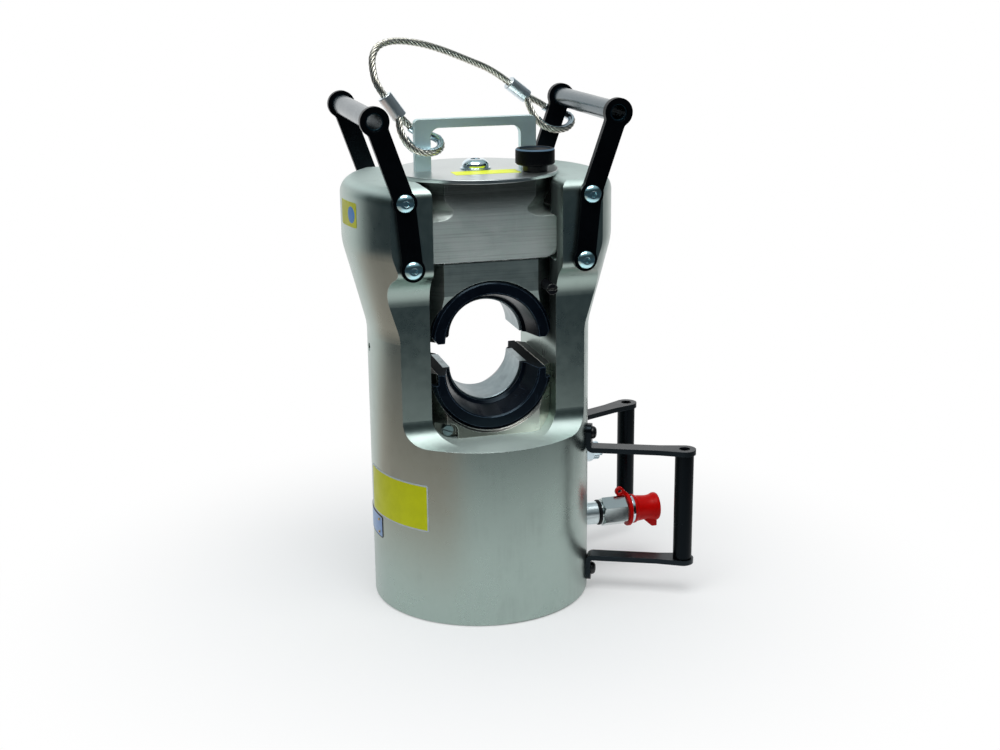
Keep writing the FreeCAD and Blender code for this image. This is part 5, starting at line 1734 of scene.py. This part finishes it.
@dataclass
class WrappedPlate:
    """A thin plate stuck round the barrel, left bare."""

    name: str
    reach: float
    start_deg: float
    end_deg: float
    low_z: float
    high_z: float
    border: float
    corner: float
    face: str
    rim: str
    thick: float = 0.0003
    facet_deg: float = 1.5
    least_facets: int = 8
    seam: float = 0.2
    close: float = 1e-4
    solid_share: float = 0.9

    def build(self, paints: Paints) -> None:
        """Model the plate from a slice of a cylinder.

        Args:
            paints: the finishes.
        """
        Bench.clear()
        span = self.end_deg - self.start_deg
        facets = max(self.least_facets, round(span / self.facet_deg))
        whole = round(360.0 / (span / facets))
        bpy.ops.mesh.primitive_cylinder_add(
            vertices=whole, radius=self.reach + self.thick, depth=self.high_z - self.low_z,
            end_fill_type="NOTHING", location=(0, 0, (self.low_z + self.high_z) / 2))
        plate = Bench.named(self.name)
        wide = 360.0 / whole
        first = int(self.start_deg // wide)
        keep = range(first, first + facets)

        def outside(face: bpy.types.MeshPolygon) -> bool:
            """Whether a face lies outside the plate's span."""
            turn = math.degrees(math.atan2(face.center.y, face.center.x))
            return not any(int(t // wide) in keep for t in (turn, turn - 360.0))

        Bench.select(plate, Pick.FACES, outside)
        bpy.ops.mesh.delete(type="FACE")
        Bench.leave_edit()
        angles = [math.atan2(v.co.y, v.co.x) for v in plate.data.vertices]
        angles = [a if a < self.seam else a - 2 * math.pi for a in angles]
        low, high = min(angles), max(angles)
        Bench.select(plate, Pick.CORNERS, lambda v: min(
            abs(angles[v.index] - low), abs(angles[v.index] - high)) < self.close)
        bpy.ops.mesh.bevel(offset=self.corner, segments=4, affect="VERTICES")
        bpy.ops.mesh.select_mode(type="FACE")
        bpy.ops.mesh.select_all(action="SELECT")
        bpy.ops.mesh.inset(thickness=self.border, depth=0.0, use_boundary=True)
        Bench.leave_edit()
        for finish in (self.face, self.rim):
            plate.data.materials.append(paints.get(finish))
        for face in plate.data.polygons:
            face.material_index = 0 if face.select else 1
        Bench.apply(plate, "SOLIDIFY", thickness=self.thick * self.solid_share, offset=-1.0)
        Bench.settle(plate, 30.0)
        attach(plate, "frame")
        log.info("plate %s", plate.name)


@dataclass
class Plates:
    """The plates and labels on the head, all without print."""

    barrel_reach: float = 0.128
    label_reach: float = 0.1529
    upward: float = 0.9
    strip_low: Point = (-0.0340, -0.0475, 0.50270)
    strip_high: Point = (0.0400, -0.0205, 0.50294)
    strip_border: float = 0.0006
    rivet_reach: float = 0.0016
    rivet_height: float = 0.0012
    rivet_edge: float = 0.0008
    rivet_lift: float = 0.0006
    rivet_turns: Span = (-171.0, -199.0)
    rivet_heights: Span = (0.0875, 0.1027)

    def build(self, paints: Paints) -> None:
        """Model every plate and the nameplate's rivets.

        Args:
            paints: the finishes.
        """
        for plate in (
                WrappedPlate("barrel_label", self.barrel_reach, -180.0, -130.2, 0.110, 0.165,
                             0.0016, 0.0018, "yellow_plate", "pale_border"),
                WrappedPlate("name_plate", self.barrel_reach, -204.0, -166.0, 0.082, 0.1082,
                             0.0011, 0.0022, "blue_plate", "dark_border", thick=0.0006),
                WrappedPlate("shoulder_label", self.label_reach, -178.0, -160.5, 0.450, 0.4775,
                             0.0004, 0.0024, "yellow_disc_plate", "yellow_plate")):
            plate.build(paints)
        self.strip(paints)
        self.rivets(paints)

    def strip(self, paints: Paints) -> None:
        """The yellow strip on the disc, between the bolt and the front edge.

        Args:
            paints: the finishes.
        """
        strip = Bench.block("disc_strip", self.strip_low, self.strip_high)
        Bench.select(strip, Pick.FACES, lambda f: f.normal.z > self.upward)
        bpy.ops.mesh.inset(thickness=self.strip_border, depth=0.0)
        Bench.leave_edit()
        paints.cover(strip, "strip_yellow")
        Bench.settle(strip, 30.0)
        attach(strip, "crosshead")
        log.info("plate %s", strip.name)

    def rivets(self, paints: Paints) -> None:
        """Four small domed rivets, modelled once and copied.

        Args:
            paints: the finishes.
        """
        Bench.clear()
        bpy.ops.mesh.primitive_cylinder_add(
            vertices=16, radius=self.rivet_reach, depth=self.rivet_height,
            location=(0, 0, self.rivet_height / 2))
        first = Bench.named("plate_rivet")
        Bench.select(first, Pick.FACES, lambda f: f.normal.z > self.upward)
        bpy.ops.mesh.bevel(offset=self.rivet_edge, segments=3, affect="EDGES")
        Bench.leave_edit()
        Bench.settle(first, 50.0)
        paints.cover(first, "brass")
        spots = [(math.radians(turn), z) for turn in self.rivet_turns for z in self.rivet_heights]
        for number, (turn, z) in enumerate(spots, 1):
            out = Vector((math.cos(turn), math.sin(turn), 0.0))
            place = out * (self.barrel_reach + self.rivet_lift)
            rivet = Bench.copy(first, "plate_rivet_%d" % number,
                               Bench.aim((place.x, place.y, z), out, "Y"))
            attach(rivet, "frame")
        bpy.data.objects.remove(first)
        log.info("rivets on the name plate")


# Studio


@dataclass
class Camera:
    """The photograph's viewpoint."""

    place: Point = (-0.41974, -1.63270, 0.73417)
    right: Point = (0.96386, -0.26620, -0.01010)
    up: Point = (0.08139, 0.25817, 0.96266)
    back: Point = (-0.25365, -0.92870, 0.27051)
    lens: float = 53.85
    sensor: float = 36.0
    farthest: float = 100.0

    def build(self) -> None:
        """Make the camera and give it to the scene."""
        data = bpy.data.cameras.new("photo_camera")
        data.lens = self.lens
        data.sensor_width = self.sensor
        data.sensor_fit = "HORIZONTAL"
        data.clip_end = self.farthest
        camera = bpy.data.objects.new("photo_camera", data)
        bpy.context.scene.collection.objects.link(camera)
        turn = Matrix((self.right, self.up, self.back)).transposed()
        camera.matrix_world = Matrix.Translation(self.place) @ turn.to_4x4()
        bpy.context.scene.camera = camera


@dataclass
class Studio:
    """White floor and backdrop, one soft box overhead and a dim room in front and beside."""

    floor_half: float = 30.0
    floor_drop: float = 0.0003
    key_power: float = 24.0
    key_size: Span = (1.5, 1.0)
    key_place: Point = (-0.20, -0.65, 1.95)
    key_target: Point = (0.0, 0.0, 0.25)
    floor_white: Colour = (0.93, 0.93, 0.93)
    dim_floor: Colour = (0.035, 0.050, 0.062)
    warm_floor: Colour = (0.72, 0.56, 0.49)
    white: Colour = (1.0, 1.0, 1.0)
    away_range: Span = (0.25, 1.05)
    front_range: Span = (0.35, 0.75)
    beside_range: Span = (-0.30, -0.75)
    back_range: Span = (0.55, 0.92)
    warm_from: Span = (0.15, 0.55)
    warm_until: Span = (1.00, 1.50)
    spared_share: float = 0.45
    glow_range: Span = (0.10, 0.60)
    glow_near: float = 0.35
    sky_range: Span = (0.25, 0.85)
    sky_level: float = 0.5
    behind_range: Span = (0.40, 0.85)
    room_level: float = 0.045
    room_tint: Colour = (0.70, 0.90, 1.0)

    def build(self) -> None:
        """Make the floor, the lamp and the world."""
        self.floor()
        self.key_lamp()
        self.world()
        bpy.context.scene.view_settings.view_transform = "Standard"

    def key_lamp(self) -> None:
        """One soft box above the head, a little to its front."""
        data = bpy.data.lights.new("key_lamp", "AREA")
        data.shape = "RECTANGLE"
        data.size, data.size_y = self.key_size
        data.energy = self.key_power
        lamp = bpy.data.objects.new("key_lamp", data)
        bpy.context.scene.collection.objects.link(lamp)
        lamp.location = self.key_place
        way = Vector(self.key_target) - Vector(self.key_place)
        lamp.rotation_euler = way.to_track_quat("-Z", "Y").to_euler()

    def floor(self) -> None:
        """A pale floor that keeps the shadow, lit near the head and dim in front."""
        Bench.clear()
        bpy.ops.mesh.primitive_plane_add(size=2 * self.floor_half,
                                         location=(0, 0, -self.floor_drop))
        plane = Bench.named("studio_floor")
        Bench.settle(plane)
        material, weave = start_material("floor_white")
        place = weave.place()
        distance = weave.measure("LENGTH", place).outputs["Value"]
        x, y, _ = weave.parts(weave.measure("NORMALIZE", place).outputs[0])
        path = weave.add("LightPath").outputs
        unseen = weave.math("SUBTRACT", 1.0, path["Is Camera Ray"])
        seen = weave.math("MAXIMUM", path["Is Camera Ray"], weave.math(
            "MAXIMUM", path["Is Glossy Ray"], path["Is Transmission Ray"]))
        beside = weave.step(x, *self.beside_range)
        spared = weave.product(beside, weave.step(
            distance, *self.warm_until, self.spared_share, 0.0))
        hidden = weave.product(
            weave.step(distance, *self.away_range), weave.step(y, *self.front_range, 1.0, 0.0),
            unseen, weave.math("SUBTRACT", 1.0, spared))
        warm = weave.product(
            beside, weave.step(y, *self.back_range, 1.0, 0.0), unseen,
            weave.step(distance, *self.warm_from),
            weave.step(distance, *self.warm_until, 1.0, 0.0))
        matt = weave.add("BsdfDiffuse")
        glow = weave.add("Emission")
        for shader, pale in ((matt, self.floor_white), (glow, self.white)):
            tone = weave.blend(hidden, weave.blend(warm, pale, self.warm_floor), self.dim_floor)
            weave.feed(shader.inputs["Color"], tone)
        glow.inputs["Strength"].default_value = 1.0
        share = weave.product(weave.step(distance, *self.glow_range, self.glow_near, 1.0), seen)
        mix = weave.add("MixShader")
        for socket, value in zip(mix.inputs, (share, matt.outputs[0], glow.outputs[0])):
            weave.feed(socket, value)
        weave.feed(weave.add("OutputMaterial").inputs["Surface"], mix.outputs[0])
        plane.data.materials.append(material)

    def world(self) -> None:
        """White behind the object, soft above it and dim in front and beside."""
        world = bpy.data.worlds.new("studio_world")
        bpy.context.scene.world = world
        world.use_nodes = True
        weave = Weave(world.node_tree)
        _, y, z = weave.parts(weave.add("TexCoord").outputs["Generated"])
        above = weave.step(z, *self.sky_range, 0.0, self.sky_level)
        behind = weave.step(y, *self.behind_range)
        level = weave.math("MAXIMUM", weave.math("MAXIMUM", above, behind), self.room_level)
        path = weave.add("LightPath").outputs
        shown = weave.math("MAXIMUM", path["Is Camera Ray"], path["Is Transmission Ray"])
        strength = weave.math("MAXIMUM", level, shown)
        ground = weave.add("Background")
        weave.feed(ground.inputs["Color"], weave.blend(strength, self.room_tint, self.white))
        weave.feed(ground.inputs["Strength"], strength)
        weave.feed(weave.add("OutputWorld").inputs["Surface"], ground.outputs[0])


def main() -> None:
    """Load the frame, build and dress every piece, and keep the sizes."""
    logging.basicConfig(level=logging.INFO, format="%(message)s")
    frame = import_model()
    Camera().build()
    paints = Paints()
    Lanyard().build(paints)
    CapStrap().build(paints)
    DustCap().build(paints)
    Fasteners().build(paints)
    KnobSpring().build(paints)
    Solids(frame).dress(paints)
    Plates().build(paints)
    Studio().build()


if __name__ == "__main__":
    main()
